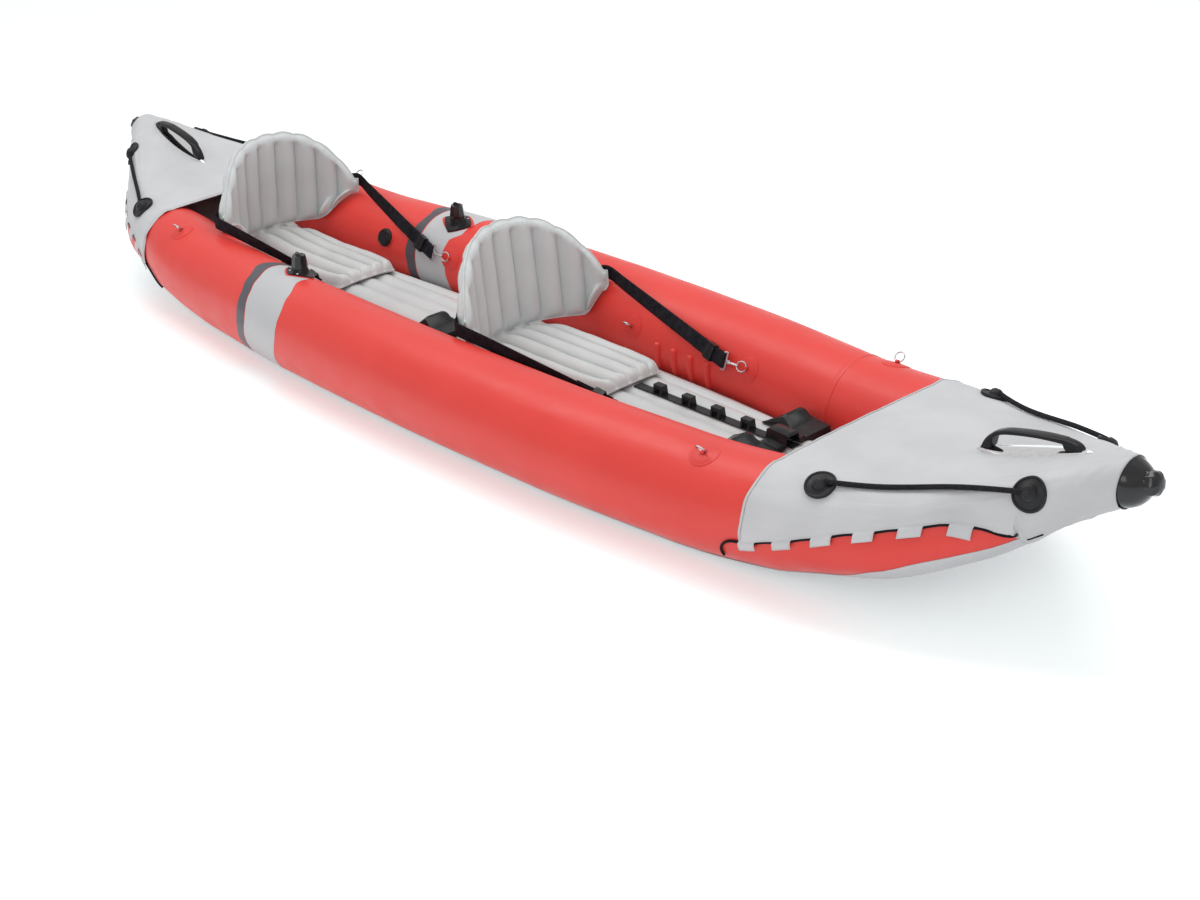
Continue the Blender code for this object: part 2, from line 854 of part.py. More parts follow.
def ring_frame(side, x, angle):
    """Hinge point of a ring over its patch, with the around and outward directions."""
    _, around, outward = tube_frame(side, x, angle)
    return round_point(side, x, angle, RING_LIFT), around, outward


RING_STAND = math.radians(68)


def standing_ring(name, side, x, angle):
    """A free ring hinged in its keeper, drawn standing as its stiff keeper holds it."""
    origin, around, outward = ring_frame(side, x, angle)
    leaning = around * math.cos(RING_STAND) + outward * math.sin(RING_STAND)
    bm = bmesh.new()
    torus(bm, origin + leaning * RING_RADIUS, FORWARD, leaning, RING_RADIUS, RING_WIRE)
    return finish(name, bm, bright_metal(), origin=origin)


RING_PULL = math.radians(19)
HOOK_REACH = 0.0215
HOOK_PLAY = 0.0010
LINK_RISE = 0.0062
LINK_TAIL = 0.0085
PLATE_THICKNESS = 0.003
SLOT_BAR = 0.0230
BAR_HALF = 0.0015


def strap_end(seat):
    """Frame at a strap's ring on the port side: hinge, far wire, around, outward."""
    origin, around, outward = ring_frame(PORT, STRAP_RINGS[seat], STRAP_RING_ANGLE)
    pull = outward * math.sin(RING_PULL) - FORWARD * math.cos(RING_PULL)
    return origin, pull, around, outward


def strap_ring(name, seat, side):
    """The ring a strap is hooked to, pulled toward the seat."""
    origin, pull, around, _ = strap_end(seat)
    bm = bmesh.new()
    middle, toward, sideways = mirrored((origin + pull * RING_RADIUS, pull, around), side)
    torus(bm, middle, toward, sideways, RING_RADIUS, RING_WIRE)
    return finish(name, bm, bright_metal())


def hook_point(seat, back, sideways, high):
    """A point of the hook, measured back from the front edge of its plate."""
    origin, pull, around, outward = strap_end(seat)
    taut = LINK_RISE - 2 * RING_WIRE - HOOK_PLAY
    start = origin + pull * (2 * RING_RADIUS) - FORWARD * (HOOK_REACH + taut)
    return start - FORWARD * back + around * sideways + outward * high


def link_points(seat):
    """A long narrow link in the upright plane through the ring and the plate."""
    points = []
    for centre, first in ((-HOOK_REACH, -90), (LINK_TAIL - LINK_RISE, 90)):
        for k in range(5):
            turn = math.radians(first + 45 * k)
            points.append(hook_point(seat, centre - LINK_RISE * math.cos(turn), 0, LINK_RISE * math.sin(turn)))
    return points


def slotted_plate(bm, seat, side):
    """The plate at the strap's end, its narrow head toward the link."""
    backs = (0.0, 0.0110, 0.0150, SLOT_BAR - BAR_HALF, SLOT_BAR + BAR_HALF)
    wide = STRAP_WIDTH / 2 + 0.0015
    ways = (-wide - 0.004, -wide, -0.0050, 0.0050, wide, wide + 0.004)
    grids = []
    for high in (-PLATE_THICKNESS / 2, PLATE_THICKNESS / 2):
        grids.append([mirrored([hook_point(seat, back, way, high) for way in ways], side) for back in backs])

    def present(i, j):
        if i == 0:
            return j == 2
        return i != 2 or j in (0, 4)

    sheet(bm, grids[0], grids[1], present)


def snap_hook(name, seat, side):
    """A bright hook: a slotted plate for the webbing and the link through the ring."""
    bm = bmesh.new()
    slotted_plate(bm, seat, side)
    hook = finish(name, bm, bright_metal(), sharp=40)
    around = strap_end(seat)[2]
    link = bmesh.new()
    closed_wire(link, wire_rings(mirrored(link_points(seat), side), RING_WIRE, 5,
                                 mirrored([around], side)[0], closed=True))
    boolean(hook, guide(name + "_link", link), "UNION")
    return hook


# Seats

def curl(seat, s):
    return SEATS[seat][3] * s + SEATS[seat][4] * s ** 3


def back_base(seat, s):
    """Plan position of the backrest's middle surface at a run s from its centre."""
    steps = 16
    x = 0.0
    y = 0.0
    for k in range(steps):
        turn = curl(seat, s * (k + 0.5) / steps)
        x += math.sin(turn) * s / steps
        y += math.cos(turn) * s / steps
    return x, y


def back_foot(seat):
    """Height of the backrest's foot, in the cushion's dent above the rising floor."""
    return BACK_FOOT + keel_rise(SEATS[seat][1])


def back_point(seat, s, height, proud=0.0):
    """A point of the backrest, proud of its middle surface toward the front."""
    foot = SEATS[seat][1]
    lean = SEATS[seat][2]
    turn = curl(seat, s)
    x, y = back_base(seat, s)
    x += foot - height * math.sin(lean) * math.cos(turn) + proud * math.cos(turn)
    y -= proud * math.sin(turn)
    return Vector((x, y, back_foot(seat) + height * math.cos(lean) + proud * math.sin(lean)))


BACK_REACH = BACK_CHANNELS * CHANNEL_PITCH / 2
WIDEST_HEIGHT = 0.095
END_HALF_HEIGHT = 0.032


def back_limits(s):
    """Lower and upper edge of the backrest's outline at a run s."""
    share = min(abs(s) / BACK_REACH, 1.0)
    arch = (1 - share ** 2.4) ** 0.8
    bulge = 0.005 * abs(math.sin(math.pi * (s / CHANNEL_PITCH + 0.5)))
    top = WIDEST_HEIGHT + (BACK_HEIGHT - WIDEST_HEIGHT) * arch + bulge
    low = WIDEST_HEIGHT * max(0.0, (share - 0.6) / 0.4) ** 4.0
    return min(low, WIDEST_HEIGHT - END_HALF_HEIGHT), max(top, WIDEST_HEIGHT + END_HALF_HEIGHT)


def clear_of_tube(point, margin):
    """Ease a soft point off the side tube when it would press into it."""
    offset, radius, height = tube_section(point.x)
    side = 1 if point.y >= 0 else -1
    away = Vector((0, abs(point.y) - offset, point.z - height))
    least = radius + margin
    if away.length < least:
        away = away.normalized() * least
    return Vector((point.x, side * (offset + away.y), height + away.z))


def backrest(seat):
    """A pillow of welded channels, arched on top, its wings curled forward."""
    bm = bmesh.new()
    each = 3
    columns = BACK_CHANNELS * each
    rows = (0, 0.045, 0.16, 0.42, 0.70, 0.90, 1)
    front = []
    behind = []
    for k in range(columns + 1):
        s = -BACK_REACH + 2 * BACK_REACH * k / columns
        low, high = back_limits(s)
        channel = abs(math.sin(math.pi * (s / CHANNEL_PITCH + 0.5))) ** 0.7
        tip = min(1.0, (1 - abs(s) / BACK_REACH) * 6) ** 0.5
        line_front = []
        line_behind = []
        for v in rows:
            height = low + (high - low) * v
            edge = min(1.0, 7 * min(v, 1 - v)) ** 0.5
            puff = WELD_FLANGE / 2 + BACK_PUFF * (0.12 + 0.88 * channel) * edge * tip
            mid = clear_of_tube(back_point(seat, s, height), WING_CLEARANCE + puff)
            shift = mid - back_point(seat, s, height)
            line_front.append(back_point(seat, s, height, puff) + shift)
            line_behind.append(back_point(seat, s, height, -puff) + shift)
        front.append(line_front)
        behind.append(line_behind)
    sheet(bm, behind, front)
    hinge = (SEATS[seat][1], 0, back_foot(seat) + HINGE_RISE)
    return finish(seat + "_backrest", bm, seat_vinyl(), origin=hinge, sharp=70)


PAD_SEAT = 0.0005
PAD_CREST = FLOOR_TOP + PAD_SEAT + PAD_THICKNESS + WELD_FLANGE / 2
PAD_DENT = PAD_CREST - BACK_FOOT + 0.0008


def seat_cushion(seat):
    """A flat pillow of lengthwise channels with drawn-in corners."""
    bm = bmesh.new()
    middle = SEATS[seat][0] - PAD_LENGTH / 2
    each = 3
    columns = PAD_RIBS * each
    over = []
    under = []
    for along in (-1, -0.95, -0.85, -0.73, -0.6, -0.47, -0.1, 0.4, 0.84, 0.95, 1):
        line_over = []
        line_under = []
        half = PAD_WIDTH / 2 - 0.028 * abs(along) ** 6
        for k in range(columns + 1):
            across = -1 + 2 * k / columns
            x = middle + (PAD_LENGTH / 2 - 0.012 * across ** 2 * abs(along) ** 3) * along
            y = half * across
            groove = abs(math.sin(math.pi * PAD_RIBS * (across + 1) / 2)) ** 0.7
            round_off = min(1.0, 5 * (1 - abs(across))) ** 0.5 * min(1.0, 7 * (1 - abs(along))) ** 0.5
            floor = floor_top(x, y) + PAD_SEAT
            seam = floor + 0.0085
            swell = (PAD_THICKNESS - 0.0085) * (0.35 + 0.65 * groove) * round_off
            foot = back_base(seat, y)[0] + SEATS[seat][1]
            dent = PAD_DENT * math.exp(-((x - foot) / 0.045) ** 2)
            line_over.append(Vector((x, y, seam + max(swell - dent, 0.0) + WELD_FLANGE / 2)))
            line_under.append(Vector((x, y, seam - WELD_FLANGE / 2 - (0.0085 - WELD_FLANGE / 2) * round_off)))
        over.append(line_over)
        under.append(line_under)
    sheet(bm, under, over)
    return finish(seat + "_seat_cushion", bm, seat_vinyl(), sharp=70)


STRAP_HEIGHT = 0.125
WING_HOLD = (0.045, 0.09, 0.13, 0.17, 0.205, 0.235, 0.262, 0.290)
WING_DROP = 0.012
STRAP_BEHIND = 0.0026
STRAP_LIE = 0.006
SLIDER_ROOM = 0.0145
FULL_PUFF = BACK_PUFF + WELD_FLANGE / 2


def strap_hold(seat, s):
    """A point of the strap where it lies against the back of the backrest."""
    height = STRAP_HEIGHT - WING_DROP * (s / BACK_REACH) ** 2
    middle = back_point(seat, s, height)
    clear = clear_of_tube(middle, WING_CLEARANCE + FULL_PUFF)
    return clear + back_point(seat, s, height, -(FULL_PUFF + STRAP_BEHIND)) - middle


def strap_straight(seat):
    """The hook's bar, where the doubled end begins, and its run, width and face."""
    bar = hook_point(seat, SLOT_BAR, 0, 0)
    toward = strap_hold(seat, WING_HOLD[-1]) - bar
    start = clear_of_tube(bar + toward.normalized() * (STRAP_TURN_BACK + 0.02), SLIDER_ROOM)
    along = (bar - start).normalized()
    around = strap_end(seat)[2]
    around = around if around.z > 0 else -around
    width = (around - along * around.dot(along)).normalized()
    return bar, start, along, width, along.cross(width)



def strap_half(seat):
    """Points and width directions of the port half, wing to hook and back again."""
    points = [strap_hold(seat, s) for s in WING_HOLD]
    widths = [UP] * len(points)
    wing = points[-1]
    outward = strap_end(seat)[3]
    bar, start, along, width, _ = strap_straight(seat)
    for share in (0.2, 0.4, 0.6, 0.8, 1.0):
        points.append(clear_of_tube(wing + (start - wing) * share, STRAP_LIE))
        widths.append((UP * (1 - share) + width * share).normalized())
    radius = math.hypot(BAR_HALF, PLATE_THICKNESS / 2) + 0.0005 + STRAP_THICKNESS / 2
    below = bar - outward * radius
    points += [points[-1] + (below - points[-1]) * 0.6, below]
    for turn in (-55, -18, 18, 55):
        angle = math.radians(turn)
        points.append(bar + FORWARD * (radius * math.cos(angle)) + outward * (radius * math.sin(angle)))
    above = bar + outward * radius
    points += [above, above - along * STRAP_TURN_BACK * 0.5, above - along * STRAP_TURN_BACK]
    around = strap_end(seat)[2]
    widths += [around if around.z > 0 else -around] * (len(points) - len(widths))
    return points, widths


def seat_strap(seat):
    """One length of webbing behind the backrest, hooked to a ring on each tube."""
    points, widths = strap_half(seat)
    centre = [strap_hold(seat, 0.0)]
    run = list(reversed(mirrored(points, STARBOARD))) + centre + points
    across = list(reversed(mirrored(widths, STARBOARD))) + [UP] * len(centre) + widths
    inner = []
    outer = []
    for k, (point, width) in enumerate(zip(run, across)):
        along = (run[min(k + 1, len(run) - 1)] - run[max(k - 1, 0)]).normalized()
        normal = along.cross(width).normalized() * STRAP_THICKNESS / 2
        reach = width * STRAP_WIDTH / 2
        inner.append([point - normal - reach, point - normal + reach])
        outer.append([point + normal - reach, point + normal + reach])
    bm = bmesh.new()
    sheet(bm, inner, outer)
    return finish(seat + "_seat_strap", bm, black_webbing(), sharp=40)


SLIDER_LENGTH = 0.030
SLIDER_WALL = 0.0022
SLIDER_PLACE = 0.052


def slider_frame(seat):
    """Centre, strap direction, width and face direction of the port slider."""
    bar, _, along, width, face = strap_straight(seat)
    return bar - along * SLIDER_PLACE, along, width, face


def strap_slider(name, seat, side):
    """A moulded sleeve with a ladder face that locks the doubled webbing."""
    centre, along, width, face = slider_frame(seat)
    wide = STRAP_WIDTH / 2 + 0.0009
    deep = math.hypot(BAR_HALF, PLATE_THICKNESS / 2) + 0.0005 + STRAP_THICKNESS + 0.0008
    bm = bmesh.new()
    made = []
    for step, swell in ((-1, 0.0), (-0.35, 0.0014), (0.3, 0.0), (1, 0.0014)):
        middle = centre + along * (SLIDER_LENGTH / 2 * step)
        loops = []
        for grow in (0.0, SLIDER_WALL):
            loop = []
            for w, f in ((-1, -1), (1, -1), (1, 1), (-1, 1)):
                ridge = swell if grow and f > 0 else 0.0
                point = middle + width * (w * (wide + grow)) + face * (f * (deep + grow + ridge))
                loop.append(bm.verts.new((point.x, point.y * side, point.z)))
            loops.append(loop)
        made.append(loops)
    for low, high in zip(made, made[1:]):
        for layer in (0, 1):
            for k in range(4):
                after = (k + 1) % 4
                bm.faces.new([low[layer][k], low[layer][after], high[layer][after], high[layer][k]])
    for loops in (made[0], made[-1]):
        for k in range(4):
            after = (k + 1) % 4
            bm.faces.new([loops[0][k], loops[0][after], loops[1][after], loops[1][k]])
    origin = (centre.x, centre.y * side, centre.z)
    return finish(name, bm, black_plastic(), origin=origin, sharp=30)


# Rod holders

def diamond(radius, turn):
    """Rounded diamond, longer fore and aft, for rings wider than the socket."""
    if radius < 0.030:
        return radius
    narrow = 0.66
    reach = 1 / (abs(math.cos(turn)) ** 1.25 + (abs(math.sin(turn)) / narrow) ** 1.25) ** 0.8
    return radius * reach


def rod_place(side):
    """Axis point of the upright socket: its centre on the tube and rim height."""
    spot = hull_point(side, ROD_X, ROD_ANGLE)
    return spot, spot.z + 0.020


def over_tube(x, y, lift):
    """A point above a side tube's round at a place in plan."""
    offset, radius, height = tube_section(x)
    return Vector((x, y, height + math.sqrt((radius + lift) ** 2 - (abs(y) - offset) ** 2)))


def rod_holder(word, side):
    """A flange on the tube with an upright socket that drops into it."""
    spot, rim = rod_place(side)
    bore = SOCKET_BORE / 2
    base = 0.0008
    count = 16
    cup = bore + 0.0028
    rings = []

    def upright(reach, z):
        return [Vector((spot.x + reach * math.cos(2 * math.pi * k / count),
                        spot.y + reach * math.sin(2 * math.pi * k / count), z)) for k in range(count)]

    def laid(reach, lift):
        ring = []
        for k in range(count):
            turn = 2 * math.pi * k / count
            size = diamond(reach, turn)
            ring.append(over_tube(spot.x + size * math.cos(turn), spot.y + size * math.sin(turn), lift))
        return ring

    bottom = rim - SOCKET_DEPTH - 0.003
    rings.append(upright(cup, bottom))
    rings.append(laid(cup, base))
    rings.append(laid(0.060, base))
    rings.append(laid(0.0585, base + 0.0036))
    rings.append(laid(bore + 0.007, base + 0.0046))
    rings.append(upright(bore + 0.0045, rim - 0.001))
    rings.append(upright(bore + 0.0035, rim))
    rings.append(upright(bore, rim))
    rings.append(upright(bore, rim - SOCKET_DEPTH))
    bm = bmesh.new()
    loft(bm, rings)
    return finish(word + "_rod_holder", bm, black_plastic(), sharp=30)


def rod_pocket(word, side):
    """The pocket that the socket needs in its tube."""
    spot, rim = rod_place(side)
    top = rim + 0.02
    bottom = rim - SOCKET_DEPTH - 0.006
    reach = SOCKET_BORE / 2 + 0.0036
    bm = bmesh.new()
    bmesh.ops.create_cone(bm, cap_ends=True, segments=16, radius1=reach, radius2=reach, depth=top - bottom)
    cutter = guide(word + "_pocket", bm)
    cutter.location = (spot.x, spot.y, (top + bottom) / 2)
    return cutter


def rod_cap(word, side):
    """An eight-sided tapering cap with a finger ridge, plugged into the socket."""
    spot, rim = rod_place(side)
    plug = SOCKET_BORE / 2 - 0.0007
    rise = 0.036
    rings = []
    for reach, z in ((plug - 0.001, rim - 0.012), (plug, rim - 0.010), (plug, rim + CENTRE_GAP),
                     (0.0235, rim + CENTRE_GAP), (0.0230, rim + 0.006), (0.0185, rim + rise)):
        ring = []
        for k in range(8):
            turn = math.pi * (k + 0.5) / 4
            ring.append(Vector((spot.x + reach * math.cos(turn), spot.y + reach * math.sin(turn), z)))
        rings.append(ring)
    bm = bmesh.new()
    loft(bm, rings)
    cap = finish(word + "_rod_cap", bm, black_plastic(), origin=(spot.x, spot.y, rim), sharp=25)
    boolean(cap, ridge_block(word, spot, rim + rise - 0.001), "UNION")
    return cap


def ridge_block(word, spot, z):
    """The finger ridge across the cap's top, with sloping ends."""
    bm = bmesh.new()
    rings = []
    for x, half, top in ((-0.0155, 0.0030, 0.0025), (-0.0100, 0.0034, 0.0080),
                         (0.0100, 0.0034, 0.0080), (0.0155, 0.0030, 0.0025)):
        rings.append([Vector((spot.x + x, spot.y - half, z)), Vector((spot.x + x, spot.y + half, z)),
                      Vector((spot.x + x, spot.y + half * 0.7, z + top)),
                      Vector((spot.x + x, spot.y - half * 0.7, z + top))])
    loft(bm, rings, fans=False)
    return guide(word + "_ridge", bm)


# Valves

VALVE_SPOTS = {"port": (PORT, -0.83, -67.0), "starboard": (STARBOARD, -0.83, -67.0)}
VALVE_BEYOND_TRACK = 0.0565
FLOOR_VALVE_X = TRACK_END + VALVE_BEYOND_TRACK + VALVE_RADIUS
CAP_HEIGHT = 0.0095


def valve_frame(word):
    """Origin, two face directions and the outward axis of one valve."""
    if word == "floor":
        spot = Vector((FLOOR_VALVE_X, 0, floor_top(FLOOR_VALVE_X, 0)))
        return spot, FORWARD, Vector((0, 1, 0)), UP
    side, x, angle = VALVE_SPOTS[word]
    origin, around, outward = tube_frame(side, x, angle)
    return origin, FORWARD, around, outward


def valve_place(word):
    """Flat placement above a valve's seat, in its own face directions."""
    origin, first, second, outward = valve_frame(word)

    def place(u, v, height):
        return origin + first * u + second * v + outward * height

    return place


def valve_seat(word):
    """Placement that follows the surface under the valve."""
    if word == "floor":
        def place(u, v, height):
            x = FLOOR_VALVE_X + u
            return Vector((x, v, floor_top(x, v) + height))
        return place
    side, x, angle = VALVE_SPOTS[word]
    return on_tube(side, x, angle)


def valve_body(word):
    """The round body of one air valve, seated on its chamber."""
    flat = valve_place(word)
    seat = valve_seat(word)
    count = 16
    bore = 0.0150

    def ring(place, radius, height):
        return [place(radius * math.cos(2 * math.pi * k / count), radius * math.sin(2 * math.pi * k / count), height)
                for k in range(count)]

    low = 0.0008
    rings = [ring(seat, 0.010, low), ring(seat, VALVE_RADIUS, low), ring(flat, VALVE_RADIUS - 0.0005, 0.0052),
             ring(flat, VALVE_RADIUS - 0.004, CAP_HEIGHT - 0.0004), ring(flat, bore, CAP_HEIGHT - 0.0004),
             ring(flat, bore, 0.0035)]
    bm = bmesh.new()
    loft(bm, rings)
    finish(word + "_valve", bm, black_rubber(), sharp=35)


def valve_moving_parts(word):
    """The sprung stopper inside a tube's valve and the cap hinged over it."""
    flat = valve_place(word)
    count = 16

    def ring(radius, height):
        return [flat(radius * math.cos(2 * math.pi * k / count), radius * math.sin(2 * math.pi * k / count), height)
                for k in range(count)]

    bm = bmesh.new()
    loft(bm, [ring(radius, height) for radius, height in
              ((0.0118, 0.0058), (0.0118, 0.0078), (0.0045, 0.0086))])
    finish(word + "_valve_stopper", bm, black_rubber(), origin=flat(0, 0, 0.0058), sharp=35)

    bm = bmesh.new()
    loft(bm, [ring(radius, height) for radius, height in
              ((0.0242, CAP_HEIGHT), (0.0230, CAP_HEIGHT + 0.0038), (0.0185, CAP_HEIGHT + 0.0030))])
    hinge = flat(-0.0245, 0, CAP_HEIGHT)
    finish(word + "_valve_cap", bm, black_plastic(), origin=hinge, sharp=35)


# Footrests and their track

TRACK_START = 0.444
TRACK_WIDTH = 0.026
TRACK_THICKNESS = 0.0030
FIRST_LOOP = 0.526
LOOP_COUNT = 5
LAST_LOOP_INSET = 0.055
LOOP_PITCH = (TRACK_END - LAST_LOOP_INSET - FIRST_LOOP) / (LOOP_COUNT - 1)
LOOPS = [FIRST_LOOP + LOOP_PITCH * k for k in range(LOOP_COUNT)]
TRACK_SEAT = 0.0005
LOOP_LENGTH = 0.030
LOOP_HEIGHT = 0.027
LOOP_BAR = 0.005


def footrest_track():
    """A moulded strip with raised loops that the front footrest clips over."""
    bm = bmesh.new()
    marks = [TRACK_START]
    for middle in LOOPS:
        marks += [middle - LOOP_LENGTH / 2, middle - LOOP_LENGTH / 2 + LOOP_BAR,
                  middle + LOOP_LENGTH / 2 - LOOP_BAR, middle + LOOP_LENGTH / 2]
    marks.append(TRACK_END)
    heights = (0, TRACK_THICKNESS, LOOP_HEIGHT - LOOP_BAR, LOOP_HEIGHT)
    grids = []
    for side in (-1, 1):
        grid = []
        for x in marks:
            base = floor_top(x, 0) + TRACK_SEAT
            half = side * TRACK_WIDTH / 2
            grid.append([Vector((x, half if h <= TRACK_THICKNESS else half * 0.72, base + h)) for h in heights])
        grids.append(grid)

    def present(i, j):
        if j == 0:
            return True
        cell = (i - 1) % 4
        if i == 0 or cell == 3:
            return False
        return j == 2 or cell in (0, 2)

    sheet(bm, grids[0], grids[1], present)
    return finish("footrest_track", bm, black_plastic(), sharp=30)


PEAK_INSET = 0.090
PEAKS = {"front": TRACK_END - PEAK_INSET, "rear": -0.245}
FOOTREST_TRAVEL = 0.30
PEDAL_TOP = 0.176
PEDAL_INSIDE = 0.050
PEDAL_INSET = 0.004
PEDAL_BACK = -0.065
PEDAL_FRONT = 0.080
PEDAL_ROOM = 0.0252
SADDLE_HALF = 0.019
SADDLE_WALL = 0.0065


def footrest(seat):
    """Two wedge pedals joined by a low bar that arches over the track."""
    bm = bmesh.new()
    peak = PEAKS[seat]
    outside = pedal_outside()
    stations = ((outside, 0.160), (outside - 0.006, 0.171), (outside - 0.018, PEDAL_TOP),
                ((PEDAL_INSIDE + outside) / 2, PEDAL_TOP), (PEDAL_INSIDE + 0.018, PEDAL_TOP),
                (PEDAL_INSIDE + 0.006, 0.171), (PEDAL_INSIDE, 0.160))
    rings = [pedal_ring(peak, y, top, footrest_foot(seat, y - PEDAL_INSET)) for y, top in stations]
    low = footrest_foot(seat, SADDLE_HALF)
    rings.append(bar_ring(peak, PEDAL_INSIDE - 0.002, 0.154, low))
    rings.append(bar_ring(peak, SADDLE_HALF + 0.006, 0.154, low))
    under = floor_top(LOOPS[-1], 0) + TRACK_SEAT + LOOP_HEIGHT + 0.0006
    rings.append(bar_ring(peak, SADDLE_HALF, under + SADDLE_WALL, under))
    rings.append(bar_ring(peak, 0.0, under + SADDLE_WALL + 0.001, under))
    opposite = [[Vector((p.x, -p.y, p.z)) for p in ring] for ring in reversed(rings[:-1])]
    loft(bm, rings + opposite)
    origin = (peak, 0, FLOOR_TOP)
    return finish(seat + "_footrest", bm, black_plastic(), origin=origin, sharp=25)


def pedal_outside():
    """Outer edge of both footrests, clear of the narrowing tubes at the front one."""
    offset, radius, _ = tube_section(PEAKS["front"] + PEDAL_FRONT)
    return offset - radius - PEDAL_ROOM


def footrest_foot(seat, y):
    """Underside height that clears the floor all along the footrest's travel."""
    start = PEAKS[seat] + PEDAL_BACK - FOOTREST_TRAVEL
    stop = PEAKS[seat] + PEDAL_FRONT
    steps = 8
    return max(floor_top(start + (stop - start) * k / steps, y) for k in range(steps + 1)) + PAD_SEAT


def pedal_ring(peak, y, top, foot):
    return [Vector((peak + along, y, z)) for along, z in
            ((PEDAL_BACK, foot), (PEDAL_BACK + 0.002, foot + 0.004), (-0.006, top), (0.004, top - 0.002),
             (0.030, min(0.152, top)), (PEDAL_FRONT - 0.005, 0.147), (PEDAL_FRONT, foot))]


def bar_ring(peak, y, top, foot):
    return [Vector((peak + along, y, z)) for along, z in
            ((0.014, foot), (0.014, (foot + top) / 2), (0.018, top - 0.001), (0.026, top),
             (0.045, top), (0.074, top - 0.002), (PEDAL_FRONT, foot))]


# Assembly

def clear_scene():
    for thing in list(bpy.data.objects):
        bpy.data.objects.remove(thing, do_unlink=True)


def build_hull():
    for word, side in SIDES.items():
        tube = side_tube(word + "_tube", side)
        welded = bmesh.new()
        rib_shapes(welded, side)
        patch_shapes(welded, side)
        boolean(tube, guide(word + "_welded", welded), "UNION")
        keepers = bmesh.new()
        keeper_shapes(keepers, side)
        boolean(tube, guide(word + "_keepers", keepers), "UNION")
        boolean(tube, rod_pocket(word, side), "DIFFERENCE")
    floor_chamber()
    hull_bottom()


def build_ends():
    for word, end, start in (("bow", 1, 1.481), ("stern", -1, 1.515)):
        spray_cover(word + "_cover", end)
        for board, side in SIDES.items():
            cord(word + "_lacing_" + board, lacing_run(end, side), LACE_DIAMETER, black_rope())
            grab_line(word + "_grab_line_" + board, end, side)
        cord(word + "_lace_end", lace_free_end(end), LACE_DIAMETER, black_rope(), roundness=2)
        handle_base(word + "_handle_base", end, start)
        handle_grip(word + "_handle_grip", end, start)
        nose_cone(word + "_nose_cone", end)


def build_fittings():
    for name, side, x, angle in ring_spots():
        standing_ring(name, side, x, angle)
    for word, side in SIDES.items():
        rod_holder(word, side)
        rod_cap(word, side)
        valve_body(word)
        valve_moving_parts(word)
    valve_body("floor")


def build_cockpit():
    for seat in SEATS:
        seat_cushion(seat)
        backrest(seat)
        seat_strap(seat)
        for word, side in SIDES.items():
            strap_slider(seat + "_slider_" + word, seat, side)
            strap_ring(seat + "_strap_ring_" + word, seat, side)
            snap_hook(seat + "_hook_" + word, seat, side)
        footrest(seat)
    footrest_track()


clear_scene()
build_hull()
build_ends()
build_fittings()
build_cockpit()
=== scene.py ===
# Looks of the tandem inflatable canoe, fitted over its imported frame.
# Metres, in the frame's own axes: +X the bow, +Y port, +Z up.

import json
import math

import bmesh
import bpy
from mathutils import Matrix, Vector, noise

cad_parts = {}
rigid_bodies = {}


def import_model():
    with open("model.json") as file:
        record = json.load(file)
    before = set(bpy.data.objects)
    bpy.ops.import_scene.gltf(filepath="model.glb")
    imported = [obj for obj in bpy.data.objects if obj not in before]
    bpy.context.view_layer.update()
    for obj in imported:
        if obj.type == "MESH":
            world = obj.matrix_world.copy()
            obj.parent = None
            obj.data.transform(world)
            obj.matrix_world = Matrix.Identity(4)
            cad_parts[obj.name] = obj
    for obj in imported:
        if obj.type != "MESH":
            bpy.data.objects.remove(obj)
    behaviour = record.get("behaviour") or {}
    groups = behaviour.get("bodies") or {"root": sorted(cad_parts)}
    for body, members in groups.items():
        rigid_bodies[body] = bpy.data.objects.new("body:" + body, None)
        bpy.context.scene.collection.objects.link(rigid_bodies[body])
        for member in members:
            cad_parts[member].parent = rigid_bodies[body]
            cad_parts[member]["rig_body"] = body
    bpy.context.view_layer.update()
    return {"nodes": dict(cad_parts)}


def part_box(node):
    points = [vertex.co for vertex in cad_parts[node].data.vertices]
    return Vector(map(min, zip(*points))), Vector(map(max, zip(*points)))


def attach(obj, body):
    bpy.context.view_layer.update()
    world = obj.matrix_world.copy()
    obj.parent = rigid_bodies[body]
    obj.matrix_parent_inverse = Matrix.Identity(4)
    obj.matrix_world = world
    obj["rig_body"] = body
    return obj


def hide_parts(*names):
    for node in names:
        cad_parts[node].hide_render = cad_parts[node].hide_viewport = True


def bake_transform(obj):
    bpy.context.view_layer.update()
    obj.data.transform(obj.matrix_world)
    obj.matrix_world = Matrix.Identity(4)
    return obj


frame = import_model()


# Camera
# The photograph's own eye, found from the hull's outline and fittings.

CAMERA_PLACE = (3.61365, -2.99982, 2.09097)
CAMERA_AXES = ((0.68279947, 0.72973929, -0.03557332),
               (-0.29830427, 0.32290119, 0.89819229),
               (0.66693287, -0.60267354, 0.4381611))
LENS = 57.016

camera_data = bpy.data.cameras.new("photo_camera")
camera_data.lens = LENS
camera_data.sensor_width = 36
camera_data.sensor_fit = "HORIZONTAL"
camera_data.clip_end = 60
camera = bpy.data.objects.new("photo_camera", camera_data)
turn = Matrix(CAMERA_AXES).transposed().to_4x4()
camera.matrix_world = Matrix.Translation(CAMERA_PLACE) @ turn
bpy.context.collection.objects.link(camera)
bpy.context.scene.camera = camera


# Studio
# A white room: even sky light, one long softbox overhead and a floor that
# the hull shades softly.

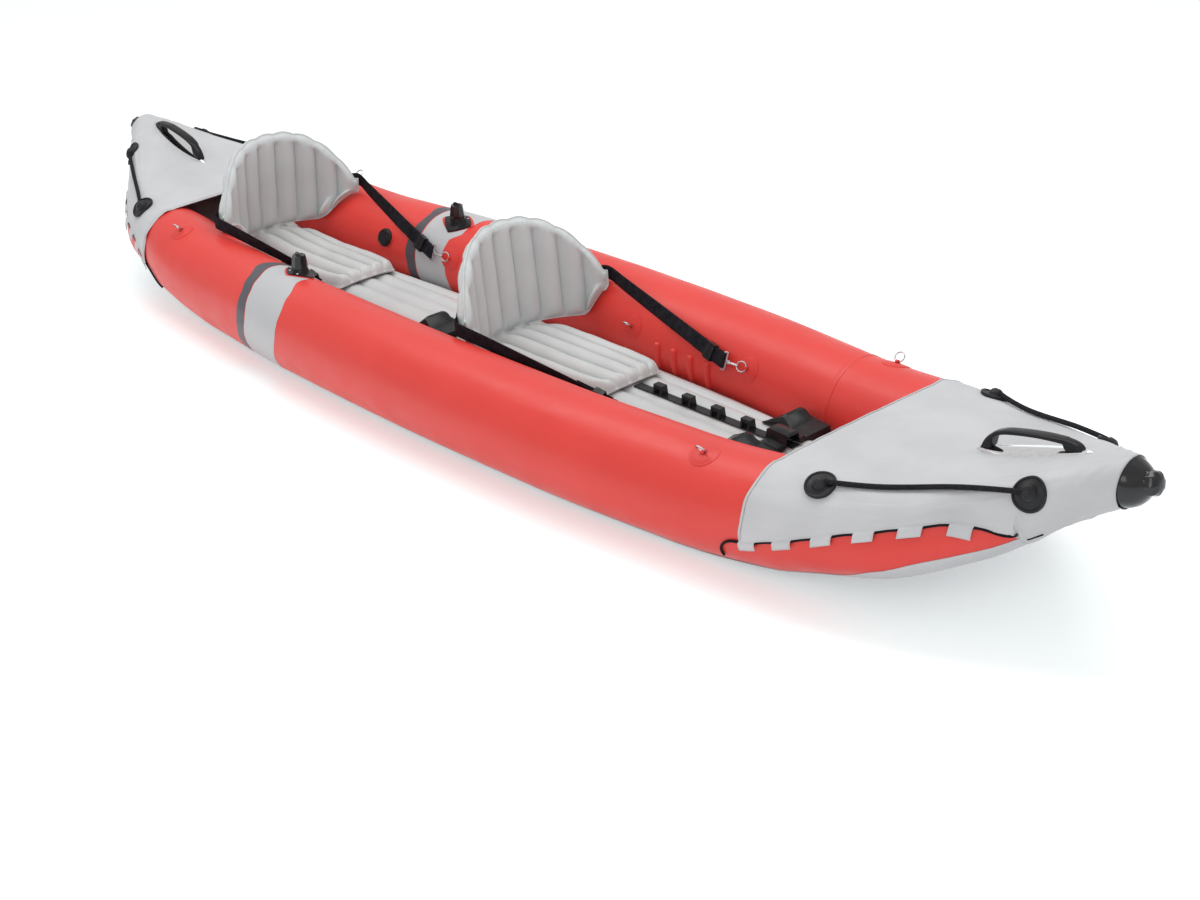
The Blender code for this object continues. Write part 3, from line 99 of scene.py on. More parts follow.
bpy.context.scene.view_settings.view_transform = "Standard"
bpy.context.scene.view_settings.look = "None"
world = bpy.data.worlds.new("studio")
world.use_nodes = True
sky = world.node_tree
sky.nodes["Background"].inputs["Color"].default_value = (1.0, 1.0, 1.0, 1)
sky.nodes["Background"].inputs["Strength"].default_value = 0.68
seen = sky.nodes.new("ShaderNodeBackground")
seen.inputs["Color"].default_value = (1.0, 1.0, 1.0, 1)
seen.inputs["Strength"].default_value = 1.0
blend = sky.nodes.new("ShaderNodeMixShader")
sky.links.new(sky.nodes.new("ShaderNodeLightPath").outputs["Is Camera Ray"], blend.inputs["Fac"])
sky.links.new(sky.nodes["Background"].outputs["Background"], blend.inputs[1])
sky.links.new(seen.outputs["Background"], blend.inputs[2])
sky.links.new(blend.outputs["Shader"], sky.nodes["World Output"].inputs["Surface"])
bpy.context.scene.world = world


def softbox(name, place, target, size, watts):
    """A rectangular area light that faces its target."""
    data = bpy.data.lights.new(name, "AREA")
    data.shape = "RECTANGLE"
    data.size, data.size_y = size
    data.energy = watts
    lamp = bpy.data.objects.new(name, data)
    lamp.location = place
    lamp.rotation_euler = (Vector(target) - Vector(place)).to_track_quat("-Z", "Y").to_euler()
    bpy.context.collection.objects.link(lamp)


softbox("overhead", (-0.3, 0.5, 3.6), (0, 0, 0), (5.5, 1.3), 74)
softbox("fill", (2.6, -3.8, 2.6), (0.2, 0, 0.1), (2.4, 1.6), 26)


# Mesh and finish helpers
# Every soft surface is a grid of points with its lengths kept as texture
# coordinates in metres, so weave and grain keep their real size.

HALF = 1.92
TUBE_RADIUS = 0.132
TUBE_OFFSET = 0.338
SKIN_LIFT = 0.0025
COVER_OUTSIDE = 0.0022
UP = Vector((0, 0, 1))
FORWARD = Vector((1, 0, 0))
SIDES = {"port": 1, "starboard": -1}


def smooth_step(t):
    t = min(max(t, 0.0), 1.0)
    return t * t * (3 - 2 * t)


def table(x, pairs):
    """Smooth value at x from a table of (place, value) pairs."""
    if x <= pairs[0][0]:
        return pairs[0][1]
    for (a, low), (b, high) in zip(pairs, pairs[1:]):
        if x <= b:
            return low + (high - low) * smooth_step((x - a) / (b - a))
    return pairs[-1][1]


def ruffle(x, y, z, scale):
    """Repeatable smooth noise from -1 to 1."""
    return noise.noise(Vector((x * scale, y * scale, z * scale)))


def gathered(values):
    """Running length through a list of points."""
    total = [0.0]
    for a, b in zip(values, values[1:]):
        total.append(total[-1] + (b - a).length)
    return total


def mesh_piece(name, points, faces, look, sharp=40, spots=None):
    mesh = bpy.data.meshes.new(name)
    mesh.from_pydata(points, [], faces)
    if spots:
        layer = mesh.uv_layers.new(name="metres")
        for loop in mesh.loops:
            layer.data[loop.index].uv = spots[loop.vertex_index]
    mesh.shade_smooth()
    mesh.set_sharp_from_angle(angle=math.radians(sharp))
    piece = bpy.data.objects.new(name, mesh)
    bpy.context.collection.objects.link(piece)
    piece.data.materials.append(LOOKS[look])
    return piece


def grid(name, rows, look, closed=False, caps=False, keep=None, sharp=40, around=None):
    """A surface through rows of points; closed joins each row's ends."""
    count = len(rows[0])
    points = [tuple(p) for row in rows for p in row]
    lengths = gathered([row[count // 2] for row in rows])
    across = around or gathered(rows[len(rows) // 2])
    spots = [(lengths[i], across[j]) for i in range(len(rows)) for j in range(count)]
    faces = []
    for i in range(len(rows) - 1):
        for j in range(count if closed else count - 1):
            after = (j + 1) % count
            if keep is None or keep(i, j):
                faces.append((i * count + j, i * count + after, (i + 1) * count + after, (i + 1) * count + j))
    if caps:
        faces.append(tuple(reversed(range(count))))
        last = (len(rows) - 1) * count
        faces.append(tuple(last + j for j in range(count)))
    return mesh_piece(name, points, faces, look, sharp, spots)


def tidy_normals(piece):
    bm = bmesh.new()
    bm.from_mesh(piece.data)
    bmesh.ops.recalc_face_normals(bm, faces=bm.faces)
    bm.to_mesh(piece.data)
    bm.free()
    return piece


def thicken(piece, thickness, offset=-1.0):
    change = piece.modifiers.new("thickness", "SOLIDIFY")
    change.thickness = thickness
    change.offset = offset
    change.use_even_offset = True
    return piece


def rounded(piece, width, segments=2, angle=30):
    change = piece.modifiers.new("edges", "BEVEL")
    change.width = width
    change.segments = segments
    change.limit_method = "ANGLE"
    change.angle_limit = math.radians(angle)
    change.harden_normals = True
    return piece


def softened(node, look, width=0.0007, segments=2, angle=28):
    """The frame's own hard part with rounded edges and a finished surface."""
    source = frame["nodes"][node]
    mesh = source.data.copy()
    mesh.materials.clear()
    piece = bpy.data.objects.new(node + "_moulding", mesh)
    bpy.context.collection.objects.link(piece)
    piece.data.materials.append(LOOKS[look])
    bm = bmesh.new()
    bm.from_mesh(mesh)
    bmesh.ops.remove_doubles(bm, verts=bm.verts, dist=0.00001)
    bmesh.ops.dissolve_limit(bm, angle_limit=math.radians(1), verts=bm.verts, edges=bm.edges)
    bm.to_mesh(mesh)
    bm.free()
    mesh.shade_smooth()
    mesh.set_sharp_from_angle(angle=math.radians(angle))
    rounded(piece, width, segments, angle)
    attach(piece, source["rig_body"])
    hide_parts(node)
    return piece


def place(piece, body, *nodes):
    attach(piece, body)
    if nodes:
        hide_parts(*nodes)
    return piece


def pipe_rows(points, radius, sides, first=UP, closed=False):
    """Rows of points round a run, kept square to it."""
    count = len(points)
    across = Vector(first)
    rows = []
    for k in range(count):
        after = points[(k + 1) % count] if closed or k + 1 < count else points[k]
        before = points[k - 1] if closed or k else points[k]
        along = (after - before).normalized()
        across = (across - along * across.dot(along)).normalized()
        other = along.cross(across)
        reach = radius(k) if callable(radius) else radius
        rows.append([points[k] + reach * (math.cos(2 * math.pi * m / sides) * across
                                          + math.sin(2 * math.pi * m / sides) * other)
                     for m in range(sides)])
    return rows


def pipe(name, points, radius, look, sides=16, first=UP, closed=False):
    rows = pipe_rows(points, radius, sides, first, closed)
    if closed:
        rows.append(rows[0])
    return tidy_normals(grid(name, rows, look, closed=True, caps=not closed, sharp=60))


def through(points, each):
    """Points of a smooth curve through the given ones."""
    out = []
    last = len(points) - 1
    for k in range(last):
        p0, p1, p2, p3 = (points[max(k - 1, 0)], points[k], points[k + 1], points[min(k + 2, last)])
        for m in range(each):
            t = m / each
            out.append(0.5 * ((2 * p1) + (p2 - p0) * t + (2 * p0 - 5 * p1 + 4 * p2 - p3) * t ** 2
                              + (3 * p1 - p0 - 3 * p2 + p3) * t ** 3))
    return out + [points[-1].copy()]


# Finishes
# Node-built surfaces: coated vinyl with a fine grain, woven cover cloth,
# ribbed webbing, twisted rope, moulded plastic and plated metal.

LOOKS = {}


class Graph:
    """Short way to wire a material's nodes."""

    def __init__(self, name, slot, roughness, metallic=0.0):
        made = bpy.data.materials.new(name)
        made.use_nodes = True
        self.tree = made.node_tree
        self.shader = self.tree.nodes["Principled BSDF"]
        self.shader.inputs["Roughness"].default_value = roughness
        self.shader.inputs["Metallic"].default_value = metallic
        LOOKS[name] = made
        self.normal = None
        self.object_space = self.node("ShaderNodeTexCoord").outputs["Object"]
        self.metres = self.node("ShaderNodeUVMap", uv_map="metres").outputs["UV"]

    def node(self, kind, **settings):
        made = self.tree.nodes.new(kind)
        for key, value in settings.items():
            if hasattr(made, key):
                setattr(made, key, value)
            else:
                made.inputs[key].default_value = value
        return made

    def link(self, source, target):
        self.tree.links.new(source, target)

    def noise(self, scale, detail=3.0, where=None, stretch=None):
        made = self.node("ShaderNodeTexNoise", Scale=scale, Detail=detail)
        source = where or self.object_space
        if stretch:
            mapping = self.node("ShaderNodeMapping", Scale=stretch)
            self.link(source, mapping.inputs["Vector"])
            source = mapping.outputs["Vector"]
        self.link(source, made.inputs["Vector"])
        return made.outputs["Fac"]

    def wave(self, scale, direction="X", profile="SIN"):
        made = self.node("ShaderNodeTexWave", Scale=scale, bands_direction=direction, wave_profile=profile)
        self.link(self.metres, made.inputs["Vector"])
        return made.outputs["Fac"]

    def maths(self, operation, a, b):
        made = self.node("ShaderNodeMath", operation=operation)
        for socket, value in zip(made.inputs, (a, b)):
            if hasattr(value, "is_linked") or hasattr(value, "links"):
                self.link(value, socket)
            else:
                socket.default_value = value
        return made.outputs["Value"]

    def spread(self, source, low, high, start=0.3, stop=0.7):
        made = self.node("ShaderNodeMapRange")
        self.link(source, made.inputs["Value"])
        for key, value in (("From Min", start), ("From Max", stop), ("To Min", low), ("To Max", high)):
            made.inputs[key].default_value = value
        return made.outputs["Result"]

    def colours(self, factor, first, second):
        made = self.node("ShaderNodeMix", data_type="RGBA")
        self.link(factor, made.inputs[0])
        made.inputs[6].default_value = (*first, 1)
        made.inputs[7].default_value = (*second, 1)
        self.link(made.outputs[2], self.shader.inputs["Base Color"])

    def rough(self, factor, low, high):
        self.link(self.spread(factor, low, high), self.shader.inputs["Roughness"])

    def bump(self, height, strength, distance):
        made = self.node("ShaderNodeBump", Strength=strength, Distance=distance)
        self.link(height, made.inputs["Height"])
        if self.normal:
            self.link(self.normal, made.inputs["Normal"])
        self.normal = made.outputs["Normal"]
        self.link(self.normal, self.shader.inputs["Normal"])


def vinyl(name, slot, light, dark, roughness, grain=0.25, coat=0.0):
    """Coated sheet: cloudy colour, a fine pressed grain and slow undulation."""
    g = Graph(name, slot, roughness)
    g.colours(g.spread(g.noise(5.0), 0.0, 1.0), light, dark)
    g.rough(g.noise(14.0), roughness - 0.05, roughness + 0.06)
    g.bump(g.noise(9.0, 2.0), 0.30, 0.004)
    g.bump(g.noise(1400.0, 2.0), grain, 0.0002)
    g.shader.inputs["Coat Weight"].default_value = coat
    g.shader.inputs["Coat Roughness"].default_value = 0.25


def cloth(name, slot, light, dark, roughness):
    """Coated woven cover cloth: crossed threads, soft creases, faint soiling."""
    g = Graph(name, slot, roughness)
    g.colours(g.spread(g.noise(7.0, 4.0), 0.0, 1.0), light, dark)
    weave = g.maths("MULTIPLY", g.wave(260.0, "X"), g.wave(260.0, "Y"))
    g.bump(g.noise(16.0, 3.0), 0.35, 0.006)
    g.bump(weave, 0.30, 0.0003)
    g.rough(g.noise(30.0), roughness - 0.05, roughness + 0.08)
    g.shader.inputs["Sheen Weight"].default_value = 0.08


def webbing(name, slot):
    """Woven strap: ribs along it, fine picks across it and faint dusty patches."""
    g = Graph(name, slot, 0.82)
    g.colours(g.spread(g.noise(60.0, 4.0), 0.0, 1.0), (0.008, 0.008, 0.011), (0.022, 0.022, 0.028))
    picks = g.maths("MULTIPLY", g.wave(85.0, "X"), g.wave(46.0, "Y"))
    g.bump(picks, 0.7, 0.0006)
    g.shader.inputs["Specular IOR Level"].default_value = 0.12


def rope(name, slot, twist, colours, roughness=0.78):
    """Braided cord: slanting strands with a rough nap."""
    g = Graph(name, slot, roughness)
    g.colours(g.spread(g.noise(220.0, 3.0), 0.0, 1.0), *colours)
    lean = g.node("ShaderNodeMapping")
    lean.inputs["Rotation"].default_value = (0, 0, math.radians(38))
    g.link(g.metres, lean.inputs["Vector"])
    strands = g.node("ShaderNodeTexWave", Scale=twist, bands_direction="X")
    g.link(lean.outputs["Vector"], strands.inputs["Vector"])
    g.bump(strands.outputs["Fac"], 0.8, 0.0010)
    g.bump(g.noise(900.0, 2.0), 0.3, 0.0003)
    g.shader.inputs["Specular IOR Level"].default_value = 0.15


def moulded(name, slot, light, dark, roughness, texture=0.25, coat=0.0, shine=0.22):
    """Moulded plastic or rubber: faint mould texture, scuffs and cloudy gloss."""
    g = Graph(name, slot, roughness)
    g.colours(g.spread(g.noise(40.0, 4.0), 0.0, 1.0), light, dark)
    g.rough(g.noise(55.0, 4.0), roughness - 0.05, roughness + 0.08)
    g.bump(g.noise(2200.0, 2.0), texture, 0.00015)
    g.shader.inputs["Specular IOR Level"].default_value = shine
    g.shader.inputs["Coat Weight"].default_value = coat
    g.shader.inputs["Coat Roughness"].default_value = 0.12


def plated(name, slot, light, dark, low=0.12, high=0.28):
    """Plated metal: a bright skin with cloudy polish."""
    g = Graph(name, slot, low, 1.0)
    g.colours(g.spread(g.noise(90.0, 3.0), 0.0, 1.0), light, dark)
    g.rough(g.noise(240.0, 3.0), low, high)


vinyl("red_vinyl", "red_vinyl", (0.79, 0.052, 0.040), (0.74, 0.044, 0.034), 0.38)
vinyl("red_weld", "red_vinyl", (0.76, 0.044, 0.034), (0.70, 0.038, 0.030), 0.40)
vinyl("band_grey", "grey_vinyl", (0.54, 0.545, 0.56), (0.50, 0.505, 0.52), 0.38)
vinyl("stripe_grey", "grey_vinyl", (0.085, 0.085, 0.100), (0.070, 0.070, 0.084), 0.38)
vinyl("bottom_grey", "grey_vinyl", (0.60, 0.61, 0.63), (0.53, 0.54, 0.56), 0.45)
vinyl("seat_vinyl", "seat_vinyl", (0.600, 0.612, 0.606), (0.540, 0.552, 0.546), 0.46, grain=0.4)
# The backrests' vinyl is a painted-light copy of the seat vinyl: lighter, standing in for more light on the backrests,
# and tinted cool to cancel the red light the tubes throw on them.
vinyl("back_vinyl_painted_light", "seat_vinyl", (0.620, 0.655, 0.657), (0.565, 0.600, 0.602), 0.46, grain=0.4)
vinyl("floor_vinyl", "floor_vinyl", (0.60, 0.61, 0.61), (0.54, 0.55, 0.55), 0.42)
cloth("cover_fabric", "cover_fabric", (0.61, 0.615, 0.63), (0.54, 0.545, 0.56), 0.52)
webbing("black_webbing", "black_webbing")
rope("black_rope", "black_rope", 150.0, ((0.010, 0.010, 0.012), (0.030, 0.030, 0.034)))
rope("lace_cord", "black_rope", 420.0, ((0.008, 0.008, 0.010), (0.020, 0.020, 0.024)))
moulded("black_plastic", "black_plastic", (0.010, 0.010, 0.012), (0.018, 0.018, 0.020), 0.26)
moulded("gloss_plastic", "black_plastic", (0.006, 0.006, 0.008), (0.012, 0.012, 0.014), 0.16, 0.05, coat=0.25, shine=0.4)
moulded("black_rubber", "black_rubber", (0.010, 0.010, 0.012), (0.020, 0.020, 0.022), 0.42, shine=0.3)
plated("bright_metal", "bright_metal", (0.66, 0.66, 0.67), (0.48, 0.48, 0.50))
plated("smoked_chrome", "black_plastic", (0.84, 0.84, 0.85), (0.76, 0.76, 0.77), 0.03, 0.07)


# Hull lines
# The tubes' offset, radius and height along the hull, as in the frame.

HULL_LINES = (
    (0.000, 1.000, 1.000, 0.000),
    (0.260, 0.971, 0.992, 0.000),
    (0.469, 0.876, 0.977, 0.000),
    (0.625, 0.791, 0.947, 0.025),
    (0.755, 0.681, 0.650, 0.114),
    (0.859, 0.372, 0.510, 0.204),
    (0.961, 0.000, 0.394, 0.302),
)


def cubic_table(u, knots, values):
    """Monotone cubic through a table."""
    spans = [b - a for a, b in zip(knots, knots[1:])]
    slopes = [(b - a) / h for a, b, h in zip(values, values[1:], spans)]
    tangents = [0.0]
    for left, right in zip(slopes, slopes[1:]):
        tangents.append(2 * left * right / (left + right) if left * right > 0 else 0.0)
    tangents.append(slopes[-1])
    k = max(i for i in range(len(spans)) if knots[i] <= u or i == 0)
    h = spans[k]
    t = min((u - knots[k]) / h, 1.0)
    rise = (2 * t ** 3 - 3 * t ** 2 + 1) * values[k] + (3 * t ** 2 - 2 * t ** 3) * values[k + 1]
    bend = (t ** 3 - 2 * t ** 2 + t) * tangents[k] + (t ** 3 - t ** 2) * tangents[k + 1]
    return rise + h * bend


def hull_line(x, column):
    return cubic_table(abs(x) / HALF, [row[0] for row in HULL_LINES], [row[column] for row in HULL_LINES])


SECTIONS = {}


def section(x):
    """Offset, radius and height of a side tube's axis."""
    key = round(x, 5)
    if key not in SECTIONS:
        radius = TUBE_RADIUS * hull_line(x, 2)
        SECTIONS[key] = (TUBE_OFFSET * hull_line(x, 1), radius, SKIN_LIFT + hull_line(x, 3) + radius)
    return SECTIONS[key]


BELLY_DEPTH = 0.035
BELLY = ((1.25, 0.0), (1.52, 1.0), (1.63, 1.0), (1.80, 0.0))


def belly(x, angle):
    """The pressed-out underside of the tubes where they rise to the tips."""
    return BELLY_DEPTH * table(abs(x), BELLY) * smooth_step((abs(angle) - 80) / 55)


def on_tube(side, x, angle, lift=0.0):
    """A point over a side tube; the angle runs from its top, outboard positive."""
    offset, radius, height = section(x)
    turn = math.radians(angle)
    reach = radius + lift + belly(x, angle)
    return Vector((x, side * max(offset + reach * math.sin(turn), 0.0004), height + reach * math.cos(turn)))


def near_tube(side, x, angle, base=0.0):
    """Places (along, around, height) on a side tube near a point, true to size on its slopes."""
    ahead = (on_tube(side, x + 0.001, angle) - on_tube(side, x - 0.001, angle)) / 0.002
    round_it = (on_tube(side, x, angle + 0.5) - on_tube(side, x, angle - 0.5))
    along = ahead.normalized()
    around = (round_it - along * round_it.dot(along)).normalized()
    aa, ar, rr = ahead.dot(ahead), ahead.dot(round_it), round_it.dot(round_it)

    def where(u, v, height):
        step = along * u + around * v
        pa, pr = step.dot(ahead), step.dot(round_it)
        det = aa * rr - ar * ar
        return on_tube(side, x + (pa * rr - pr * ar) / det, angle + (pr * aa - pa * ar) / det, base + height)
    return where


def tube_axes(side, angle):
    turn = math.radians(angle)
    outward = Vector((0, side * math.sin(turn), math.cos(turn)))
    around = Vector((0, side * math.cos(turn), -math.sin(turn)))
    return around, outward


def turned(name, where, profile, look, count=48, outline=None, middle=True, sharp=35):
    """Rings (radius, height) laid on a surface by where(u, v, height)."""
    rows = []
    for radius, height in profile:
        row = []
        for k in range(count):
            turn = 2 * math.pi * k / count
            reach = outline(radius, turn) if outline else radius
            row.append(Vector(where(reach * math.cos(turn), reach * math.sin(turn), height)))
        rows.append(row)
    return tidy_normals(grid(name, rows, look, closed=True, caps=middle, sharp=sharp))


# Side tubes
# Smooth inflated tubes with the slow sag of the skin, a weld line near the
# bow on the far side, and printed bands astern.

def dimple(x, angle, side):
    """How the skin dips round welded fittings and ripples along its welds."""
    lift = 0.0007 * ruffle(x, side * 3, angle * 0.02, 6.0)
    if 0.22 < x < 0.60 and -125 < angle < -60:
        near = math.exp(-((angle + 97) / 24) ** 2) * smooth_step((x - 0.22) / 0.08) * smooth_step((0.60 - x) / 0.08)
        lift += 0.0016 * near * (math.cos(2 * math.pi * (x - 0.31) / 0.062) - 0.6)
    return lift


def side_tube(word, side):
    last = HALF * 0.961
    stations = [-last + 2 * last * k / 230 for k in range(231)]
    count = 72
    rows = []
    for x in stations:
        row = []
        for k in range(count):
            angle = -180 + 360 * k / count
            row.append(on_tube(side, x, angle, min(dimple(x, angle, side), 0.0012)))
        rows.append(row)
    radius = TUBE_RADIUS
    around = [2 * math.pi * radius * k / count for k in range(count)]
    piece = grid(word + "_tube_skin", rows, "red_vinyl", closed=True, caps=True, sharp=70, around=around)
    place(tidy_normals(piece), "hull", word + "_tube")
    if word == "port":
        weld_line(word + "_bow_weld", side, 0.915)


def weld_line(name, side, x):
    """A narrow overlap where two lengths of the tube's skin are welded."""
    rows = []
    for k in range(97):
        angle = -150 + 275 * k / 96
        wander = 0.0006 * ruffle(angle * 0.05, x, side, 2.0)
        rows.append([on_tube(side, x + wander + along, angle, lift) for along, lift in
                     ((-0.0070, 0.0004), (-0.0050, 0.0009), (0.0050, 0.0009), (0.0070, 0.0004))])
    place(tidy_normals(grid(name, rows, "red_vinyl", sharp=75)), "hull")


# Edges of the printed bands: pairs of angle on the tube and place along the hull
STRIPE_AFT = ((-130, -0.728), (-98, -0.733), (-73, -0.740), (-50, -0.736), (-20, -0.724), (5, -0.738),
              (30, -0.714), (52, -0.699), (85, -0.693), (120, -0.708), (150, -0.72))
STRIPE_FORE = ((-130, -0.695), (-97, -0.697), (-72, -0.700), (-32, -0.697), (0, -0.694), (28, -0.674),
               (47, -0.662), (77, -0.650), (110, -0.664), (150, -0.68))
BAND_FORE = ((-130, -0.555), (-109, -0.560), (-85, -0.568), (-66, -0.587), (-49, -0.581), (-33, -0.546),
             (0, -0.536), (30, -0.500), (52, -0.487), (80, -0.487), (126, -0.520), (150, -0.53))


def printed_band(name, side, aft, fore, look, gap=0.0):
    rows = []
    low, high = -128, 133
    for k in range(131):
        angle = low + (high - low) * k / 130
        start = table(angle, aft) + gap
        stop = table(angle, fore)
        places = [start + (stop - start) * m / 12 for m in range(13)]
        rows.append([on_tube(side, x, angle, dimple(x, angle, side) + (0.0004 if 0 < m < 12 else 0.0002))
                     for m, x in enumerate(places)])
    place(tidy_normals(grid(name, rows, look, sharp=60)), "hull")


PATCHES = ((1.00, 20.0), (-1.15, 22.0), (0.206, -73.0), (0.636, -69.0), (-0.55, -69.0))


def patches(word, side):
    """Round welded patches with a pressed ring that carry the metal rings."""
    for k, (x, angle) in enumerate(PATCHES):
        profile = [(0.0365, -0.0005), (0.0360, 0.0012), (0.0330, 0.0017), (0.0305, 0.0015), (0.0290, 0.0021),
                   (0.0200, 0.0028), (0.0125, 0.0031), (0.0110, 0.0034), (0.0050, 0.0036)]
        name = word + "_patch_" + str(k)
        place(turned(name, near_tube(side, x, angle), profile, "red_weld", sharp=60), "hull")
        around, outward = tube_axes(side, angle)
        run = FORWARD if k < 3 else around
        keeper(name + "_keeper", on_tube(side, x, angle, 0.0062), run, outward)


def keeper(name, origin, run, outward):
    """The small loop of skin that holds a ring's wire down on its patch."""
    across = outward.cross(run).normalized()
    rows = []
    for k in range(25):
        t = k / 24
        turn = math.pi * (t - 0.5)
        bore = 0.0044
        side = bore * math.sin(turn)
        rise = bore * math.cos(turn)
        if t < 0.12 or t > 0.88:
            rise = -0.0026
            side = math.copysign(0.0088 if t in (0, 1) else 0.0056, side)
        middle = origin + across * side + outward * rise
        rows.append([middle + run * w for w in (-0.0040, -0.0020, 0.0, 0.0020, 0.0040)])
    place(thicken(grid(name, rows, "red_weld", sharp=70), 0.0012, 0.0), "hull")


def brace_ribs(word, side):
    """Raised welded ribs on the inside of the tube, notched at the top."""
    for k in range(4):
        where = near_tube(side, 0.31 + 0.062 * k, -97.5)
        rows = []
        for i in range(33):
            t = -1 + 2 * i / 32
            swell = (1 - abs(t) ** (6 if t < 0 else 26)) ** 0.5
            width = 0.0100 * (0.60 + 0.40 * (1 - abs(t) ** 5)) * (1 if t < 0 else 1 + 0.12 * t)
            rows.append([where(width * m / 6 - 0.0035 * max(t - 0.5, 0) ** 2, 0.040 * t,
                               -0.001 + 0.0104 * swell * math.sqrt(max(0.0, 1 - (m / 6) ** 2)))
                         for m in range(-6, 7)])
        place(tidy_normals(grid(word + "_brace_rib_" + str(k), rows, "red_vinyl", sharp=70)), "hull")


for word, side in SIDES.items():
    side_tube(word, side)
    printed_band(word + "_stripe", side, STRIPE_AFT, STRIPE_FORE, "stripe_grey")
    printed_band(word + "_band", side, STRIPE_FORE, BAND_FORE, "band_grey", gap=0.0035)
    patches(word, side)
    brace_ribs(word, side)


# Bottom skin and floor
# The tough grey skin wraps the keel side; the floor is a mat of seven
# lengthwise ribs drawn down along their welds.

COVER_EDGES = {1: 1.166, -1: 1.290}
LACE_END = 1.698
COVER_END = 1.852
TAB_END = 1.636
TAB_COUNT, TAB_SHARE, TAB_DEPTH = 6, 0.49, 0.021
# The laced edge: share of the way from the mouth to the lace's end, and its angle on the tube
LACE_LINES = {
    1: ((0.0, 99.5), (0.126, 94.0), (0.297, 86.0), (0.459, 78.5), (0.617, 75.0), (0.763, 78.5), (0.876, 92.0),
        (1.0, 119.0)),
    -1: ((0.0, 99.5), (0.06, 97.5), (0.21, 90.5), (0.385, 87.0), (0.59, 91.0), (0.763, 98.0), (0.876, 106.0),
         (1.0, 122.0)),
}


def lace_angle(x):
    end = 1 if x > 0 else -1
    share = min(max((abs(x) - COVER_EDGES[end]) / (LACE_END - COVER_EDGES[end]), 0.0), 1.0)
    line = LACE_LINES[end]
    return cubic_table(share, [place for place, _ in line], [angle for _, angle in line])


def keel_rise(x):
    return section(x)[2] - section(x)[1] - SKIN_LIFT


SKIN_EDGE = ((1.15, 150.0), (1.36, 148.0), (1.47, 130.0), (1.54, 127.0), (1.62, 129.0), (1.70, 134.0), (1.76, 150.0))


def skin_edge(x):
    return table(abs(x), SKIN_EDGE)


def bottom_skin():
    last = 0.937 * HALF
    rows = []
    for k in range(161):
        x = -last + 2 * last * k / 160
        edge = skin_edge(x)
        row = [on_tube(1, x, edge + (180 - edge) * m / 14, 0.0010 + 0.0012 * min(m, 1)) for m in range(15)]
        row += [on_tube(-1, x, 180 - (180 - edge) * m / 14, 0.0010 + 0.0012 * min(14 - m, 1)) for m in range(15)]
        rows.append(row)
    place(thicken(tidy_normals(grid("hull_bottom_skin", rows, "bottom_grey", sharp=60)), 0.0010, 0.0),
          "hull", "hull_bottom")


FLOOR_RIBS = 7
FLOOR_TOP = 0.141


def rib_envelope(share):
    crown = FLOOR_TOP - 0.0035 * (share / 0.27) ** 2
    return crown if share <= 0.53 else FLOOR_TOP - 0.0135 - 0.062 * ((share - 0.53) / 0.47) ** 1.25


def floor_half_width(x):
    offset, radius, height = section(x)
    crease = 0.060 + keel_rise(x)
    return offset - math.sqrt(max(radius ** 2 - (height - crease) ** 2, 0)) - 0.003


def floor_top(x, y):
    return rib_envelope(min(abs(y) / floor_half_width(x), 1.0)) + keel_rise(x)


def floor_mat():
    rows = []
    steps = FLOOR_RIBS * 12
    for i in range(201):
        x = -1.36 + 2.72 * i / 200
        width = floor_half_width(x)
        rise = keel_rise(x)
        beyond = max(0.0, abs(x) - 1.24) / 0.12
        end = math.sqrt(max(1.02 - beyond ** 2, 0.0)) / math.sqrt(1.02)
        middle = 0.055 + rise
        row = []
        for k in range(steps + 1):
            share = -1 + 2 * k / steps
            round_rib = abs(math.sin(math.pi * FLOOR_RIBS * (share + 1) / 2)) ** 0.62
            drop = 0.0105 * (1 - round_rib) if 0 < k < steps else 0.0
            drop += 0.0009 * ruffle(x, share, 0, 14.0) + 0.0006 * math.cos(2 * math.pi * x / 0.155) * (1 - round_rib)
            row.append(Vector((x, width * share, middle + (rib_envelope(abs(share)) - drop + rise - middle) * end)))
        for share, height in ((0.985, 0.045), (0.91, 0.020), (0.76, 0.0032), (-0.76, 0.0032), (-0.91, 0.020), (-0.985, 0.045)):
            row.append(Vector((x, width * share, middle + (height + rise - middle) * end)))
        rows.append(row)
    place(tidy_normals(grid("floor_mat", rows, "floor_vinyl", closed=True, caps=True, sharp=75)),
          "hull", "floor_chamber")


bottom_skin()
floor_mat()


# Spray covers
# One cloth over each end, hemmed at the open edge, drawn down by laced tabs
# and creased where the lacing pulls.

COVER_CROWN = 0.012


def tab_spans(end):
    cell = (TAB_END - COVER_EDGES[end]) / (TAB_COUNT - 1 + TAB_SHARE)
    return [(COVER_EDGES[end] + cell * k, COVER_EDGES[end] + cell * (k + TAB_SHARE)) for k in range(TAB_COUNT)]


def cover_crease(end, away, side, angle, lowest):
    """Small folds of the cloth: pulls over each tab and slack near the mouth."""
    cell = (TAB_END - COVER_EDGES[end]) / (TAB_COUNT - 1 + TAB_SHARE)
    edge = COVER_EDGES[end]
    below = max(0.0, 1 - (lowest - angle) / 60)
    pull = 0.0022 * below ** 2 * math.cos(2 * math.pi * (away - edge - cell * TAB_SHARE / 2) / cell)
    slack = 0.0034 * ruffle(away * 1.0, angle * 0.012, end * 3 + side, 6.0)
    slack += 0.0018 * abs(ruffle(away * 1.6 + angle * 0.010, angle * 0.02, end * 5 + side, 8.0))
    mouth = math.exp(-((away - edge) / 0.05) ** 2) * 0.0020 * math.sin(angle * 0.16 + side)
    tip = math.exp(-((away - 1.80) / 0.035) ** 2) * 0.0034 * max(0.0, math.sin(away * 190 + angle * 0.11)) ** 2
    return max(pull + slack * 0.7 + mouth + tip, -0.0012)


